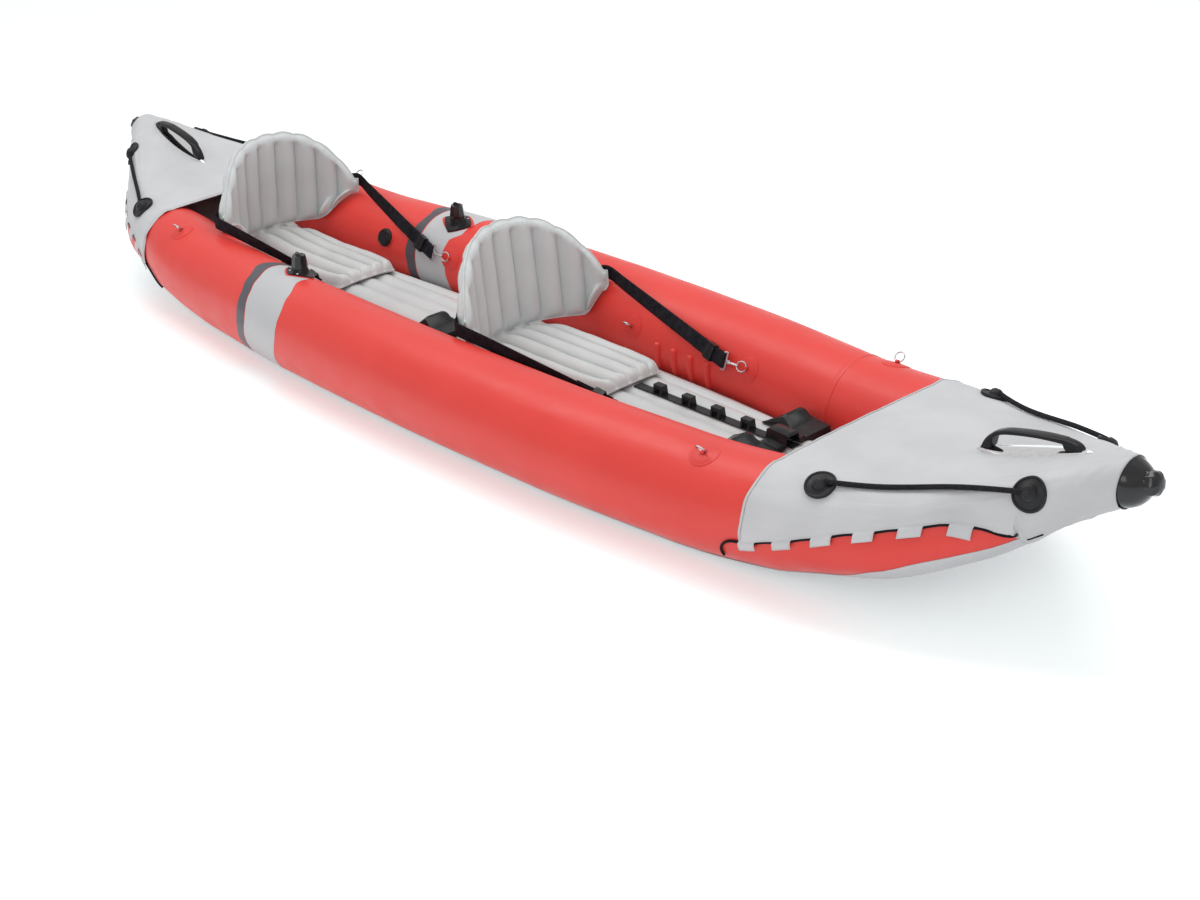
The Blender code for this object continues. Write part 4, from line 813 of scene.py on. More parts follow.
def cover_row(end, away):
    x = end * away
    offset, radius, height = section(x)
    wrap = smooth_step((away - LACE_END) / 0.016)
    lowest = lace_angle(x) + (180 - lace_angle(x)) * wrap
    hem = 0.0012 * math.exp(-((away - COVER_EDGES[end] - 0.007) / 0.0065) ** 4)
    proud = COVER_OUTSIDE + 0.0022 * smooth_step((away - LACE_END + 0.02) / 0.03)
    rims = ((TAB_DEPTH, 0.0086), (0.016, 0.0090), (0.010, 0.0092), (0.004, 0.0088), (0.0015, 0.0052))
    steps = 40
    row = []
    for side in (1, -1):
        half = []
        for k, (depth, stand) in enumerate(rims):
            laced = on_tube(side, x, lowest + math.degrees(depth / radius) * (1 - wrap), stand + hem)
            under = on_tube(side, x, 180, proud)
            under.y *= k / 5
            half.append(laced.lerp(under, wrap))
        for m in range(steps + 1):
            angle = lowest - lowest * m / steps
            fold = cover_crease(end, away, side, angle, lowest) * smooth_step(offset / 0.05)
            if away > 1.76:
                fold += 0.4 * cover_crease(end, away, side, angle, lowest) * (1 - smooth_step(offset / 0.05))
            half.append(on_tube(side, x, angle, proud + hem + max(fold, -0.0010)))
        top = height + radius + proud
        inboard = away - COVER_EDGES[end]
        crown = COVER_CROWN * min(1.0, 0.35 + inboard / 0.25) * min(1.0, offset / 0.1)
        for m in range(1, 13):
            share = 1 - m / 12.5
            wave = 0.0030 * ruffle(away, share * side, end, 7.0) * (1 - share) * smooth_step(offset / 0.08)
            half.append(Vector((x, side * max(offset * share, 0.0), top + hem + crown * (1 - share ** 2) + wave)))
        row.append(half)
    middle = Vector((x, 0, (row[0][-1].z + row[1][-1].z) / 2))
    return row[0] + [middle] + list(reversed(row[1]))


def spray_cover(word, end):
    edge = COVER_EDGES[end]
    spans = tab_spans(end)
    marks = sorted({round(m, 5) for span in spans for m in span})
    places = set(marks)
    extra = 90
    for k in range(extra + 1):
        spot = edge + (COVER_END - edge) * k / extra
        if min(abs(spot - mark) for mark in marks) > 0.0022:
            places.add(round(spot, 5))
    places = sorted(places)
    rows = [cover_row(end, away) for away in places]
    columns = len(rows[0]) - 1

    def keep(i, j):
        if 4 <= j < columns - 4:
            return True
        middle = (places[i] + places[i + 1]) / 2
        return middle > LACE_END + 0.010 or any(start < middle < stop for start, stop in spans)

    piece = tidy_normals(grid(word + "_cover_cloth", rows, "cover_fabric", keep=keep, sharp=65))
    thicken(piece, 0.0016, 0.0)
    place(piece, "hull", word + "_cover")
    girth = max(gathered(row)[-1] for row in rows)
    hem_line(word, end, rows, places)


def hem_line(word, end, rows, places):
    """Two rows of stitching beside the open edge."""
    for tag, inset in (("a", 0.0045), ("b", 0.0100)):
        k = min(range(len(places)), key=lambda i: abs(places[i] - COVER_EDGES[end] - inset))
        run = [p + Vector((0, 0, 0)) for p in rows[k][6:-6]]
        normal_out = []
        for p in run:
            offset, radius, height = section(p.x)
            away = Vector((0, p.y - math.copysign(offset, p.y), p.z - height))
            over = UP if abs(p.y) < offset else away.normalized()
            normal_out.append(p + over * 0.0011)
        piece = pipe(word + "_hem_" + tag, normal_out, 0.0005, "cover_fabric", sides=6)
        place(piece, "hull")


for word, end in (("bow", 1), ("stern", -1)):
    spray_cover(word, end)


# Lacing and free ends
# A thin black lace threads the tabs on each side, drawn thicker than the cord so that its black also paints the shadow
# under the cloth's edge; a short black cord under each tip is partly lace and partly painted shade in the slit there;
# one tail of it hangs free.

LACE_RADIUS = 0.0020


def lacing(word, end, board, side):
    cell = (TAB_END - COVER_EDGES[end]) / (TAB_COUNT - 1 + TAB_SHARE)
    points = []
    steps = 160
    start = COVER_EDGES[end] - 0.004
    stop = LACE_END + 0.006
    for k in range(steps + 1):
        away = start + (stop - start) * k / steps
        phase = (away - COVER_EDGES[end]) / cell
        swing = 0.0012 * math.sin(2 * math.pi * phase)
        angle = lace_angle(end * away) + math.degrees((0.0046 + swing) / section(away)[1])
        points.append(on_tube(side, end * away, angle, LACE_RADIUS + 0.0010))
    # The lace is drawn at 1.7 times its radius: the cord, plus painted shade standing in for the shadow along the top
    # edge of the slits.
    place(pipe(word + "_lace_" + board, points, LACE_RADIUS * 1.7, "lace_cord", sides=10), "hull",
          word + "_lacing_" + board)
    # A short black cord in the slit under the tip: partly the lace in it, partly painted shade standing in for the
    # slit's dark inside.
    run = [on_tube(side, end * (1.713 + 0.020 * k / 8), 143 + 6 * k / 8, 0.0062) for k in range(9)]
    place(pipe(word + "_slit_lace_and_shade_" + board, run, LACE_RADIUS, "lace_cord", sides=8), "hull")


def lace_tail(word, end):
    points = []
    steps = 24
    for k in range(steps + 1):
        turn = math.pi / 2 * k / steps
        back = 0.0048 + 0.056 * math.sin(turn) ** 0.85
        fall = 26.0 * (1 - math.cos(turn) ** 0.85)
        x = end * (COVER_EDGES[end] - back)
        start = 99.5 + math.degrees(0.0050 / section(x)[1])
        points.append(on_tube(-1, x, start + fall, LACE_RADIUS * 1.5 + 0.0006))
    piece = pipe(word + "_lace_tail", points, LACE_RADIUS * 1.5, "lace_cord", sides=12)
    place(piece, "hull", word + "_lace_end")
    gathered(points)[-1]


for word, end in (("bow", 1), ("stern", -1)):
    for board, side in SIDES.items():
        lacing(word, end, board, side)
    lace_tail(word, end)


# Grab lines
# A rope along each cover edge, held at both ends by a round rubber pad with
# a raised rim and a hub that swallows the rope's end.

ANCHORS = {1: ((1.309, 24.0), (1.713, 57.0)), -1: ((1.415, 35.0), (1.729, 60.0))}
ANCHOR_PROFILE = ((0.0336, -0.0030), (0.0342, 0.0010), (0.0344, 0.0040), (0.0336, 0.0062), (0.0318, 0.0070), (0.0298, 0.0064),
                  (0.0286, 0.0040), (0.0205, 0.0034), (0.0176, 0.0042), (0.0162, 0.0078), (0.0138, 0.0120),
                  (0.0105, 0.0150), (0.0070, 0.0163), (0.0030, 0.0167))


def grab_line(word, end, board, side):
    first, last = (on_tube(side, end * x, angle) for x, angle in ANCHORS[end])
    points = []
    for k in range(49):
        share = k / 48
        sag = math.sin(math.pi * share)
        spot = first.lerp(last, share)
        offset, radius, height = section(spot.x)
        angle = math.degrees(math.atan2(side * spot.y - offset, spot.z - height))
        lift = COVER_OUTSIDE + 0.0090 + 0.0048 * (1 - sag) ** 3
        points.append(on_tube(side, spot.x, angle + 1.6 * sag * sag, lift))
    name = word + "_grab_rope_" + board
    place(pipe(name, points, 0.0058, "black_rope", sides=20), "hull", word + "_grab_line_" + board)
    for tag, (x, angle) in enumerate(ANCHORS[end]):
        where = near_tube(side, end * x, angle, COVER_OUTSIDE + 0.0030)
        place(turned(name + "_pad_" + str(tag), where, ANCHOR_PROFILE, "black_rubber", count=56), "hull")
        bridge = []
        for k in range(13):
            turn = math.pi * (k / 12 - 0.5)
            rise = 0.0040 + 0.0125 * math.cos(turn)
            bridge.append([where(along, 0.0118 * math.sin(turn), rise) for along in
                           (-0.0062, -0.0048, 0.0, 0.0048, 0.0062)])
        place(thicken(grid(name + "_bridge_" + str(tag), bridge, "black_rubber"), 0.0022, 0.0), "hull")


for word, end in (("bow", 1), ("stern", -1)):
    for board, side in SIDES.items():
        grab_line(word, end, board, side)


# Carry handles
# A glossy boat-shaped plate on each cover's centre line and an arched grip.

HANDLE_STARTS = {1: 1.481, -1: 1.515}
HANDLE_LENGTH = 0.279
GRIP_TOP = ((0.055, 0.012), (0.075, 0.025), (0.11, 0.037), (0.18, 0.048), (0.27, 0.0515), (0.38, 0.050),
            (0.50, 0.0465), (0.62, 0.0415), (0.74, 0.0345), (0.83, 0.0275), (0.885, 0.019), (0.912, 0.010))


def cover_height(x, y=0.0):
    offset, radius, height = section(x)
    inboard = abs(x) - COVER_EDGES[1 if x > 0 else -1]
    crown = COVER_CROWN * min(1.0, 0.35 + inboard / 0.25) * min(1.0, offset / 0.1)
    share = min(abs(y) / max(offset, 0.001), 1.0)
    return height + radius + COVER_OUTSIDE + crown * (1 - share ** 2)


def carry_handle(word, end):
    start = HANDLE_STARTS[end]
    rows = []
    for k in range(65):
        share = k / 64
        x = end * (start + HANDLE_LENGTH * share)
        half = 0.0020 + 0.0290 * (1 - abs(2 * share - 1) ** 2.3)
        row = []
        for m in range(17):
            across = -1 + m / 8
            rim = math.exp(-((abs(across) - 0.86) / 0.10) ** 2) * 0.0020
            dome = 0.0040 * (1 - abs(across) ** 8) + rim + 0.0034 * (1 - across * across)
            dome *= min(1.0, (1 - abs(2 * share - 1)) * 14 + 0.25)
            y = across * half
            row.append(Vector((x, y, cover_height(x, y) + 0.0008 + dome)))
        row += [Vector((p.x, p.y, cover_height(p.x, p.y) + 0.0004)) for p in reversed(row)]
        rows.append(row)
    base = tidy_normals(grid(word + "_handle_plate", rows, "smoked_chrome", closed=True, caps=True, sharp=45))
    place(base, "hull", word + "_handle_base")
    rows = []
    low, high = 0.055, 0.912
    for k in range(73):
        share = low + (high - low) * k / 72
        x = end * (start + HANDLE_LENGTH * share)
        floor = cover_height(x) + 0.0056
        top = cover_height(x) + cubic_table(share, [place for place, _ in GRIP_TOP], [rise for _, rise in GRIP_TOP])
        slim = 0.0130 - 0.0020 * math.sin(math.pi * (share - low) / (high - low))
        foot = share < 0.165 or share > 0.765
        under = top - slim
        if foot:
            into = max(smooth_step((0.165 - share) / 0.020), smooth_step((share - 0.765) / 0.025))
            under = under + (floor - under) * into
        under = min(max(under, floor), top - 0.003)
        wide = 0.0150 * (0.74 + 0.26 * math.sin(math.pi * (share - low) / (high - low)) ** 0.4)
        middle = (top + under) / 2
        tall = (top - under) / 2
        row = []
        for m in range(20):
            turn = 2 * math.pi * m / 20
            c, s = math.cos(turn), math.sin(turn)
            row.append(Vector((x, wide * math.copysign(abs(c) ** 0.62, c), middle + tall * math.copysign(abs(s) ** 0.62, s))))
        rows.append(row)
    grip = tidy_normals(grid(word + "_handle_bar", rows, "black_plastic", closed=True, caps=True, sharp=50))
    place(grip, "hull", word + "_handle_grip")
    for share in (0.035, 0.955):
        x = end * (start + HANDLE_LENGTH * share)
        stud(word + "_handle_stud_" + ("fore" if share > 0.5 else "aft"),
             Vector((x, 0, cover_height(x) + 0.0030)), UP, FORWARD, 0.0034)


def stud(name, centre, outward, first, radius, look="bright_metal"):
    """A domed screw head."""
    second = outward.cross(first).normalized()
    where = lambda u, v, h: centre + first * u + second * v + outward * h
    profile = ((radius, -0.0006), (radius, 0.0006), (radius * 0.8, 0.0014), (radius * 0.4, 0.0018))
    return place(turned(name, where, profile, look, count=20), "hull")


# Nose cones
# Glossy moulded tips over the meeting tube ends, each with a fluted nut.

CONE_RISE = math.radians(15)


def nose_cone(word, end):
    start = HALF * 0.961
    _, radius, height = section(start)
    rows = []
    profile = ((-0.012, 1.015, 0.0, 0.0), (0.0, 1.04, 0.0, 0.0), (0.16, 1.03, 0.5, 0.0), (0.30, 0.93, 0.9, 0.0),
               (0.45, 0.78, 1.0, 0.0), (0.62, 0.55, 1.0, 0.0), (0.655, 0.505, 1.0, 0.0), (0.662, 0.54, 1.0, 0.9),
               (0.70, 0.545, 1.0, 1.0), (0.80, 0.52, 1.0, 1.0), (0.88, 0.45, 1.0, 1.0), (0.93, 0.34, 1.0, 0.6),
               (0.962, 0.18, 1.0, 0.0))
    for along, share, lean, flutes in profile:
        tilt = CONE_RISE * lean
        reach_along = along * (HALF - start) if along > 0 else along
        centre = Vector((start + reach_along, 0, height + max(reach_along, 0) * math.tan(CONE_RISE)))
        row = []
        for k in range(96):
            turn = 2 * math.pi * k / 96
            reach = radius * share * (1 - 0.085 * flutes * (0.5 - 0.5 * math.cos(8 * turn)) ** 0.5)
            up = reach * math.cos(turn)
            row.append(Vector((end * (centre.x - up * math.sin(tilt)), reach * math.sin(turn),
                               centre.z + up * math.cos(tilt))))
        rows.append(row)
    piece = tidy_normals(grid(word + "_nose_moulding", rows, "gloss_plastic", closed=True, caps=True, sharp=42))
    place(piece, "hull", word + "_nose_cone")


for word, end in (("bow", 1), ("stern", -1)):
    carry_handle(word, end)
    nose_cone(word, end)


# Seats
# Welded pillows: the pad has five lengthwise channels, the backrest nine
# upright ones that stop short of the rim, where a flat weld runs round.

SEATS = {
    "front": (0.44, -0.040, 0.100, 3.55, -6.5),
    "rear": (-0.67, -1.180, -0.100, 4.70, -28.0),
}
PAD_LENGTH, PAD_WIDTH, PAD_THICKNESS, PAD_RIBS = 0.60, 0.25, 0.028, 5
BACK_HEIGHT, BACK_CHANNELS, CHANNEL_PITCH, BACK_PUFF = 0.296, 9, 0.064, 0.019
WELD_FLANGE, BACK_FOOT, WING_CLEARANCE = 0.0034, 0.1615, 0.010
BACK_REACH = BACK_CHANNELS * CHANNEL_PITCH / 2
WIDEST_HEIGHT, END_HALF_HEIGHT = 0.095, 0.032
PAD_SEAT, PAD_PUFF = 0.0005, 0.008
PAD_DENT = FLOOR_TOP + PAD_SEAT + PAD_THICKNESS + WELD_FLANGE / 2 - BACK_FOOT + 0.0008


def curl(seat, s):
    return SEATS[seat][3] * s + SEATS[seat][4] * s ** 3


BASES = {}


def back_base(seat, s):
    key = (seat, round(s, 5))
    if key not in BASES:
        x = y = 0.0
        for k in range(16):
            turn = curl(seat, s * (k + 0.5) / 16)
            x += math.sin(turn) * s / 16
            y += math.cos(turn) * s / 16
        BASES[key] = (x, y)
    return BASES[key]


def back_foot(seat):
    return BACK_FOOT + keel_rise(SEATS[seat][1])


def back_point(seat, s, height, proud=0.0):
    foot, lean = SEATS[seat][1], SEATS[seat][2]
    turn = curl(seat, s)
    x, y = back_base(seat, s)
    x += foot - height * math.sin(lean) * math.cos(turn) + proud * math.cos(turn)
    y -= proud * math.sin(turn)
    return Vector((x, y, back_foot(seat) + height * math.cos(lean) + proud * math.sin(lean)))


def back_limits(s):
    share = min(abs(s) / BACK_REACH, 1.0)
    arch = (1 - share ** 2.4) ** 0.8
    bulge = 0.005 * abs(math.sin(math.pi * (s / CHANNEL_PITCH + 0.5)))
    top = WIDEST_HEIGHT + (BACK_HEIGHT - WIDEST_HEIGHT) * arch + bulge
    low = WIDEST_HEIGHT * max(0.0, (share - 0.6) / 0.4) ** 4.0
    return min(low, WIDEST_HEIGHT - END_HALF_HEIGHT), max(top, WIDEST_HEIGHT + END_HALF_HEIGHT)


def clear_of_tube(point, margin):
    offset, radius, height = section(point.x)
    side = 1 if point.y >= 0 else -1
    away = Vector((0, abs(point.y) - offset, point.z - height))
    least = radius + margin
    if away.length < least:
        away = away.normalized() * least
    return Vector((point.x, side * (offset + away.y), height + away.z))


def round_in(distance, flange, reach):
    """How full a pillow is at a distance from its rim, 0 on the flat weld."""
    t = min(max((distance - flange) / reach, 0.0), 1.0)
    return math.sqrt(1 - (1 - t) ** 2)


def backrest(seat):
    rows = []
    columns = BACK_CHANNELS * 16
    shares = [0, 0.012, 0.024, 0.036, 0.05, 0.07, 0.10, 0.14] + [0.14 + 0.72 * k / 22 for k in range(1, 22)]
    shares += [0.86, 0.885, 0.905, 0.925, 0.94, 0.955, 0.966, 0.977, 0.988, 1]
    for k in range(columns + 1):
        s = -BACK_REACH + 2 * BACK_REACH * k / columns
        low, high = back_limits(s)
        channel = abs(math.sin(math.pi * (s / CHANNEL_PITCH + 0.5))) ** 0.72
        tip = round_in(BACK_REACH - abs(s), 0.004, 0.026)
        front = []
        behind = []
        for v in shares:
            height = low + (high - low) * v
            rim = min(height - low, high - height)
            full = round_in(rim, 0.0055, 0.030) * tip
            seam = smooth_step((high - height - 0.018) / 0.016) * smooth_step((height - low + 0.004) / 0.012)
            swell = 0.98 * channel
            swell = swell * seam + (0.62 + 0.38 * channel) * (1 - seam)
            pucker = math.exp(-((rim - 0.013) / 0.009) ** 2) * 0.0013 * math.sin(s * 410 + 3 * ruffle(s, v, 0, 18))
            crease = 0.0022 * ruffle(s * 1.0, height * 0.55, len(seat), 26.0) * full
            puff = WELD_FLANGE / 2 + BACK_PUFF * swell * full
            middle = back_point(seat, s, height)
            shift = clear_of_tube(middle, WING_CLEARANCE + puff) - middle
            proud = max(puff + pucker + crease, WELD_FLANGE / 2)
            front.append(back_point(seat, s, height, proud) + shift)
            behind.append(back_point(seat, s, height, -max(puff - crease - pucker, WELD_FLANGE / 2)) + shift)
        rows.append(front + list(reversed(behind)))
    # The pillow takes the lighter, cooler copy of the seat vinyl, with painted light in its colour.
    piece = tidy_normals(grid(seat + "_backrest_pillow", rows, "back_vinyl_painted_light", closed=True, caps=True, sharp=75))
    place(piece, seat + "_backrest", seat + "_backrest")


def seat_pad(seat):
    middle = SEATS[seat][0] - PAD_LENGTH / 2
    rows = []
    stations = [-1, -0.992, -0.984, -0.975, -0.96, -0.94, -0.91, -0.87]
    stations += [-0.83 + 1.66 * k / 44 for k in range(45)]
    stations += [0.87, 0.91, 0.94, 0.96, 0.975, 0.984, 0.992, 1]
    steps = PAD_RIBS * 14
    for along in stations:
        half = PAD_WIDTH / 2 - 0.028 * abs(along) ** 6
        over = []
        under = []
        for k in range(steps + 1):
            across = -1 + 2 * k / steps
            x = middle + (PAD_LENGTH / 2 - 0.012 * across ** 2 * abs(along) ** 3) * along
            y = half * across
            groove = abs(math.sin(math.pi * PAD_RIBS * (across + 1) / 2)) ** 0.42
            rim_side = (1 - abs(across)) * half
            rim_end = (1 - abs(along)) * PAD_LENGTH / 2
            full = round_in(rim_side, 0.003, 0.022) * round_in(rim_end, 0.003, 0.026)
            seam = smooth_step((rim_end - 0.022) / 0.020)
            swell = (0.12 + 0.88 * groove) * seam + (0.66 + 0.34 * groove) * (1 - seam)
            base = floor_top(x, y) + PAD_SEAT
            line = base + 0.0085
            foot = back_base(seat, y)[0] + SEATS[seat][1]
            dent = (PAD_DENT + PAD_PUFF) * math.exp(-((x - foot) / 0.045) ** 2)
            pucker = 0.0014 * math.sin(y * 420 + 2 * ruffle(y, x, 1, 20)) * math.exp(-((rim_end - 0.016) / 0.010) ** 2)
            crease = 0.0020 * ruffle(x * 0.7, y, len(seat), 22.0) * full
            rise = (PAD_THICKNESS + PAD_PUFF - 0.0085) * swell * full
            over.append(Vector((x, y, line + max(rise + pucker * full - dent + crease, 0.0) + WELD_FLANGE / 2)))
            under.append(Vector((x, y, line - WELD_FLANGE / 2 - (0.0080 - WELD_FLANGE / 2) * full)))
        rows.append(over + list(reversed(under)))
    piece = tidy_normals(grid(seat + "_pad_pillow", rows, "seat_vinyl", closed=True, caps=True, sharp=75))
    place(piece, "hull", seat + "_seat_cushion")


for seat in SEATS:
    seat_pad(seat)
    backrest(seat)


# Metal rings and hooks
# Bright wire rings in their keepers, and at each strap's end a slotted plate
# with a narrow link through the ring.

RING_RADIUS, RING_WIRE, RING_LIFT = 0.013, 0.0019, 0.0062
RING_STAND, RING_PULL = math.radians(68), math.radians(19)
STRAP_WIDTH, STRAP_THICKNESS, STRAP_TURN_BACK = 0.038, 0.002, 0.12
STRAP_RINGS = {"front": 0.636, "rear": -0.55}
STRAP_RING_ANGLE = -69.0
HOOK_REACH, HOOK_PLAY, LINK_RISE, LINK_TAIL = 0.0215, 0.0010, 0.0062, 0.0085
PLATE_THICKNESS, SLOT_BAR, BAR_HALF = 0.003, 0.0230, 0.0015


def wire_loop(name, centre, across, along, body, node):
    points = [centre + RING_RADIUS * (math.cos(a) * across + math.sin(a) * along)
              for a in (2 * math.pi * k / 48 for k in range(48))]
    place(pipe(name, points, RING_WIRE, "bright_metal", sides=12, first=across.cross(along), closed=True), body, node)


def ring_frame(side, x, angle):
    around, outward = tube_axes(side, angle)
    return on_tube(side, x, angle, RING_LIFT), around, outward


for word, side in SIDES.items():
    for tag, (x, angle) in zip(("bow", "stern", "spare"), PATCHES):
        node = tag + "_ring_" + word
        origin, around, outward = ring_frame(side, x, angle)
        lean = around * math.cos(RING_STAND) + outward * math.sin(RING_STAND)
        wire_loop(node + "_wire", origin + lean * RING_RADIUS, FORWARD, lean, frame["nodes"][node]["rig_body"], node)


def strap_end(seat):
    origin, around, outward = ring_frame(1, STRAP_RINGS[seat], STRAP_RING_ANGLE)
    return origin, outward * math.sin(RING_PULL) - FORWARD * math.cos(RING_PULL), around, outward


def flip(points, side):
    return [Vector((p[0], p[1] * side, p[2])) for p in points]


def hook_point(seat, back, sideways, high):
    origin, pull, around, outward = strap_end(seat)
    taut = LINK_RISE - 2 * RING_WIRE - HOOK_PLAY
    start = origin + pull * (2 * RING_RADIUS) - FORWARD * (HOOK_REACH + taut)
    return start - FORWARD * back + around * sideways + outward * high


def snap_hook(seat, word, side):
    node = seat + "_hook_" + word
    backs = (0.0, 0.0110, 0.0150, SLOT_BAR - BAR_HALF, SLOT_BAR + BAR_HALF)
    wide = STRAP_WIDTH / 2 + 0.0015
    ways = (-wide - 0.004, -wide, -0.0050, 0.0050, wide, wide + 0.004)
    rows = [flip([hook_point(seat, back, way, 0) for way in ways], side) for back in backs]
    keep = lambda i, j: j == 2 if i == 0 else i != 2 or j in (0, 4)
    plate = tidy_normals(grid(node + "_plate", rows, "bright_metal", keep=keep, sharp=30))
    thicken(plate, PLATE_THICKNESS, 0.0)
    rounded(plate, 0.0008, 3)
    place(plate, "hull", node)
    points = []
    for centre, first in ((-HOOK_REACH, -90), (LINK_TAIL - LINK_RISE, 90)):
        for k in range(13):
            turn = math.radians(first + 15 * k)
            points.append(hook_point(seat, centre - LINK_RISE * math.cos(turn), 0, LINK_RISE * math.sin(turn)))
    link = pipe(node + "_link", flip(points, side), RING_WIRE, "bright_metal", sides=12,
                first=flip([strap_end(seat)[2]], side)[0], closed=True)
    place(link, "hull")


for seat in SEATS:
    origin, pull, around, _ = strap_end(seat)
    for word, side in SIDES.items():
        centre, toward, sideways = flip((origin + pull * RING_RADIUS, pull, around), side)
        wire_loop(seat + "_strap_wire_" + word, centre, toward, sideways, "hull", seat + "_strap_ring_" + word)
        snap_hook(seat, word, side)


# Seat straps
# Webbing behind each backrest, led over the tube to a hook and doubled back
# through a ladder slider; sewn with a box of stitches.

STRAP_HEIGHT, WING_DROP, STRAP_BEHIND, STRAP_LIE, SLIDER_ROOM = 0.125, 0.012, 0.0026, 0.006, 0.0145
WING_HOLD = (0.045, 0.09, 0.13, 0.17, 0.205, 0.235, 0.262, 0.290)
FULL_PUFF = BACK_PUFF + WELD_FLANGE / 2


def strap_hold(seat, s):
    height = STRAP_HEIGHT - WING_DROP * (s / BACK_REACH) ** 2
    middle = back_point(seat, s, height)
    clear = clear_of_tube(middle, WING_CLEARANCE + FULL_PUFF)
    return clear + back_point(seat, s, height, -(FULL_PUFF + STRAP_BEHIND)) - middle


def strap_run(seat):
    """Points and width directions of the port half, from the middle to the hook and back."""
    points = [strap_hold(seat, s) for s in (0.0,) + WING_HOLD]
    widths = [UP] * len(points)
    wing = points[-1]
    _, _, around, outward = strap_end(seat)
    around = around if around.z > 0 else -around
    bar = hook_point(seat, SLOT_BAR, 0, 0)
    start = clear_of_tube(bar + (wing - bar).normalized() * (STRAP_TURN_BACK + 0.02), SLIDER_ROOM)
    along = (bar - start).normalized()
    width = (around - along * around.dot(along)).normalized()
    for share in (0.2, 0.4, 0.6, 0.8, 1.0):
        points.append(clear_of_tube(wing + (start - wing) * share, STRAP_LIE))
        widths.append((UP * (1 - share) + width * share).normalized())
    radius = math.hypot(BAR_HALF, PLATE_THICKNESS / 2) + 0.0005 + STRAP_THICKNESS / 2
    below = bar - outward * radius
    points += [points[-1] + (below - points[-1]) * 0.6, below]
    for turn in (-55, -18, 18, 55):
        angle = math.radians(turn)
        points.append(bar + FORWARD * (radius * math.cos(angle)) + outward * (radius * math.sin(angle)))
    above = bar + outward * radius
    points += [above, above - along * STRAP_TURN_BACK * 0.5, above - along * STRAP_TURN_BACK]
    widths += [around] * (len(points) - len(widths))
    return points, widths, (bar, along, width, along.cross(width), outward)


def seat_strap(seat, word, side):
    points, widths, (bar, along, width, face, outward) = strap_run(seat)
    smooth_to = len(WING_HOLD) + 5
    fine, broad = [], []
    eased = through(points[:smooth_to + 1], 5)
    for k, p in enumerate(eased):
        at = min(k / 5, smooth_to - 0.001)
        a = widths[int(at)].lerp(widths[int(at) + 1], at - int(at)).normalized()
        fine.append(p)
        broad.append(a)
    fine += points[smooth_to + 1:]
    broad += widths[smooth_to + 1:]
    rows = []
    for k, (p, w) in enumerate(zip(flip(fine, side), flip(broad, side))):
        run = (flip([fine[min(k + 1, len(fine) - 1)]], side)[0] - flip([fine[max(k - 1, 0)]], side)[0]).normalized()
        out = run.cross(w).normalized() * side
        rows.append([p + w * (STRAP_WIDTH / 2 * m / 4) + out * 0.0003 * (1 - (m / 4) ** 2) for m in range(-4, 5)])
    name = seat + "_webbing_" + word
    piece = thicken(tidy_normals(grid(name, rows, "black_webbing", sharp=50)), STRAP_THICKNESS * 0.92, 0.0)
    if word == "port":
        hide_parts(seat + "_seat_strap")
    wing, end = flip((points[len(WING_HOLD)], points[smooth_to]), side)
    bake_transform(piece)
    top = outward * (math.hypot(BAR_HALF, PLATE_THICKNESS / 2) + 0.0005 + STRAP_THICKNESS * 1.5 + 0.0001)
    for tag, back in (("a", 0.010), ("b", 0.028), ("c", 0.086), ("d", 0.110)):
        line = [bar - along * back + width * (0.015 * m / 4) + top for m in range(-4, 5)]
        place(pipe(name + "_stitch_" + tag, flip(line, side), 0.0004, "black_rope", sides=6), "hull")


for seat in SEATS:
    for word, side in SIDES.items():
        seat_strap(seat, word, side)
        softened(seat + "_slider_" + word, "black_plastic", 0.0006, 3, 25)


# Rod holders
# A black flange on each tube with a thin red surround, two bright screws
# and an eight-sided cap.

def diamond(radius, turn):
    reach = 1 / (abs(math.cos(turn)) ** 1.25 + (abs(math.sin(turn)) / 0.66) ** 1.25) ** 0.8
    return radius * reach


for word, side in SIDES.items():
    softened(word + "_rod_holder", "black_plastic", 0.0010, 3, 25)
    softened(word + "_rod_cap", "gloss_plastic", 0.0008, 3, 25)
    low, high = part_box(word + "_rod_holder")
    centre = (low + high) / 2
    where = near_tube(side, centre.x, -18.0)
    surround = turned(word + "_rod_surround", where, ((0.0665, 0.0004), (0.0665, 0.0012), (0.050, 0.0012)),
                      "red_weld", count=64, outline=diamond)
    place(surround, "hull")
    for tag, along in (("aft", -0.020), ("fore", 0.020)):
        angle = -18.0 + math.degrees(0.021 / section(centre.x)[1])
        around, outward = tube_axes(side, angle)
        stud(word + "_rod_screw_" + tag, on_tube(side, centre.x + along, angle, 0.0052), outward, FORWARD, 0.0036)


# Air valves
# A rubber body on each chamber, with its stopper and a disc cap on top.

VALVE_X, VALVE_ANGLE, FLOOR_VALVE_X, CAP_HEIGHT = -0.83, -67.0, 1.06, 0.0095


def flat_place(origin, first, second, outward):
    return lambda u, v, h: origin + first * u + second * v + outward * h


def valve(word, where, seat_where, node_body):
    profile = ((0.0300, 0.0006), (0.0302, 0.0016), (0.0285, 0.0026))
    place(turned(word + "_valve_flange", seat_where, profile, "red_weld" if word != "floor" else "floor_vinyl"), "hull")
    rim = ((0.0272, 0.0012), (0.0276, 0.0050), (0.0268, 0.0066), (0.0250, CAP_HEIGHT - 0.0010),
           (0.0238, CAP_HEIGHT - 0.0005), (0.0158, CAP_HEIGHT - 0.0005), (0.0150, CAP_HEIGHT - 0.0012),
           (0.0152, 0.0008))
    place(turned(word + "_valve_ring", where, rim, "black_rubber", count=56), "hull", word + "_valve")


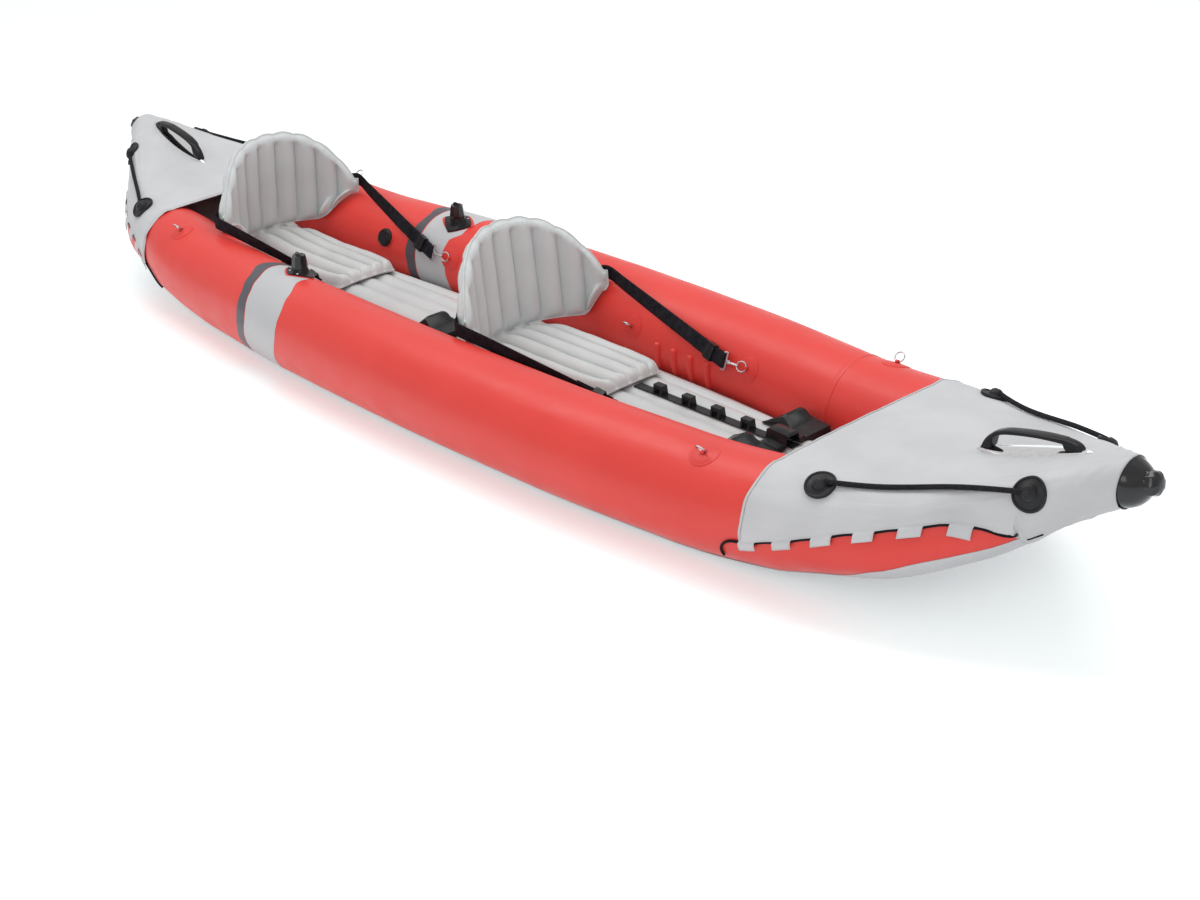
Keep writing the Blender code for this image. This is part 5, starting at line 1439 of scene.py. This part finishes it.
for word, side in SIDES.items():
    around, outward = tube_axes(side, VALVE_ANGLE)
    where = flat_place(on_tube(side, VALVE_X, VALVE_ANGLE), FORWARD, around, outward)
    valve(word, where, near_tube(side, VALVE_X, VALVE_ANGLE), "hull")
    softened(word + "_valve_stopper", "black_rubber", 0.0004, 2, 30)
    cap = turned(word + "_valve_disc", where,
                 ((0.0236, CAP_HEIGHT + 0.0002), (0.0242, CAP_HEIGHT + 0.0010), (0.0240, CAP_HEIGHT + 0.0028),
                  (0.0230, CAP_HEIGHT + 0.0038), (0.0212, CAP_HEIGHT + 0.0038), (0.0200, CAP_HEIGHT + 0.0028),
                  (0.0100, CAP_HEIGHT + 0.0026), (0.0040, CAP_HEIGHT + 0.0028)), "black_plastic", count=56)
    place(cap, frame["nodes"][word + "_valve_cap"]["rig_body"], word + "_valve_cap")

top = Vector((FLOOR_VALVE_X, 0, floor_top(FLOOR_VALVE_X, 0)))
where = flat_place(top, FORWARD, Vector((0, 1, 0)), UP)
valve("floor", where, where, "hull")


# Footrests and track
# Two black wedge pedals on a low bar, and the looped strip they clip over.

for seat in SEATS:
    softened(seat + "_footrest", "black_plastic", 0.0022, 3, 22)
softened("footrest_track", "black_plastic", 0.0009, 2, 25)


# Floor of the studio
# A plain white floor that takes the soft shadow; it isn't part of the canoe.

paint = Graph("studio_white", "floor_vinyl", 0.9)
paint.shader.inputs["Base Color"].default_value = (0.93, 0.93, 0.935, 1)
glow = paint.node("ShaderNodeEmission", Color=(1.0, 1.0, 1.0, 1), Strength=0.34)
# Camera rays see a cool-tinted white: painted colour that cancels the red light the tubes throw on the floor near the
# hull.
even = paint.node("ShaderNodeBsdfDiffuse", Color=(0.87, 0.93, 0.935, 1))
ray = paint.node("ShaderNodeLightPath")
lift = paint.node("ShaderNodeAddShader")
paint.link(even.outputs["BSDF"], lift.inputs[0])
paint.link(glow.outputs["Emission"], lift.inputs[1])
shown = paint.node("ShaderNodeMixShader")
paint.link(paint.maths("MAXIMUM", ray.outputs["Is Camera Ray"], ray.outputs["Is Glossy Ray"]), shown.inputs["Fac"])
paint.link(paint.shader.outputs["BSDF"], shown.inputs[1])
paint.link(lift.outputs["Shader"], shown.inputs[2])
paint.link(shown.outputs["Shader"], paint.tree.nodes["Material Output"].inputs["Surface"])
mesh = bpy.data.meshes.new("studio_floor")
mesh.from_pydata([(-30, -30, 0), (30, -30, 0), (30, 30, 0), (-30, 30, 0)], [], [(0, 1, 2, 3)])
mesh.materials.append(LOOKS["studio_white"])
ground = bpy.data.objects.new("studio_floor", mesh)
bpy.context.collection.objects.link(ground)
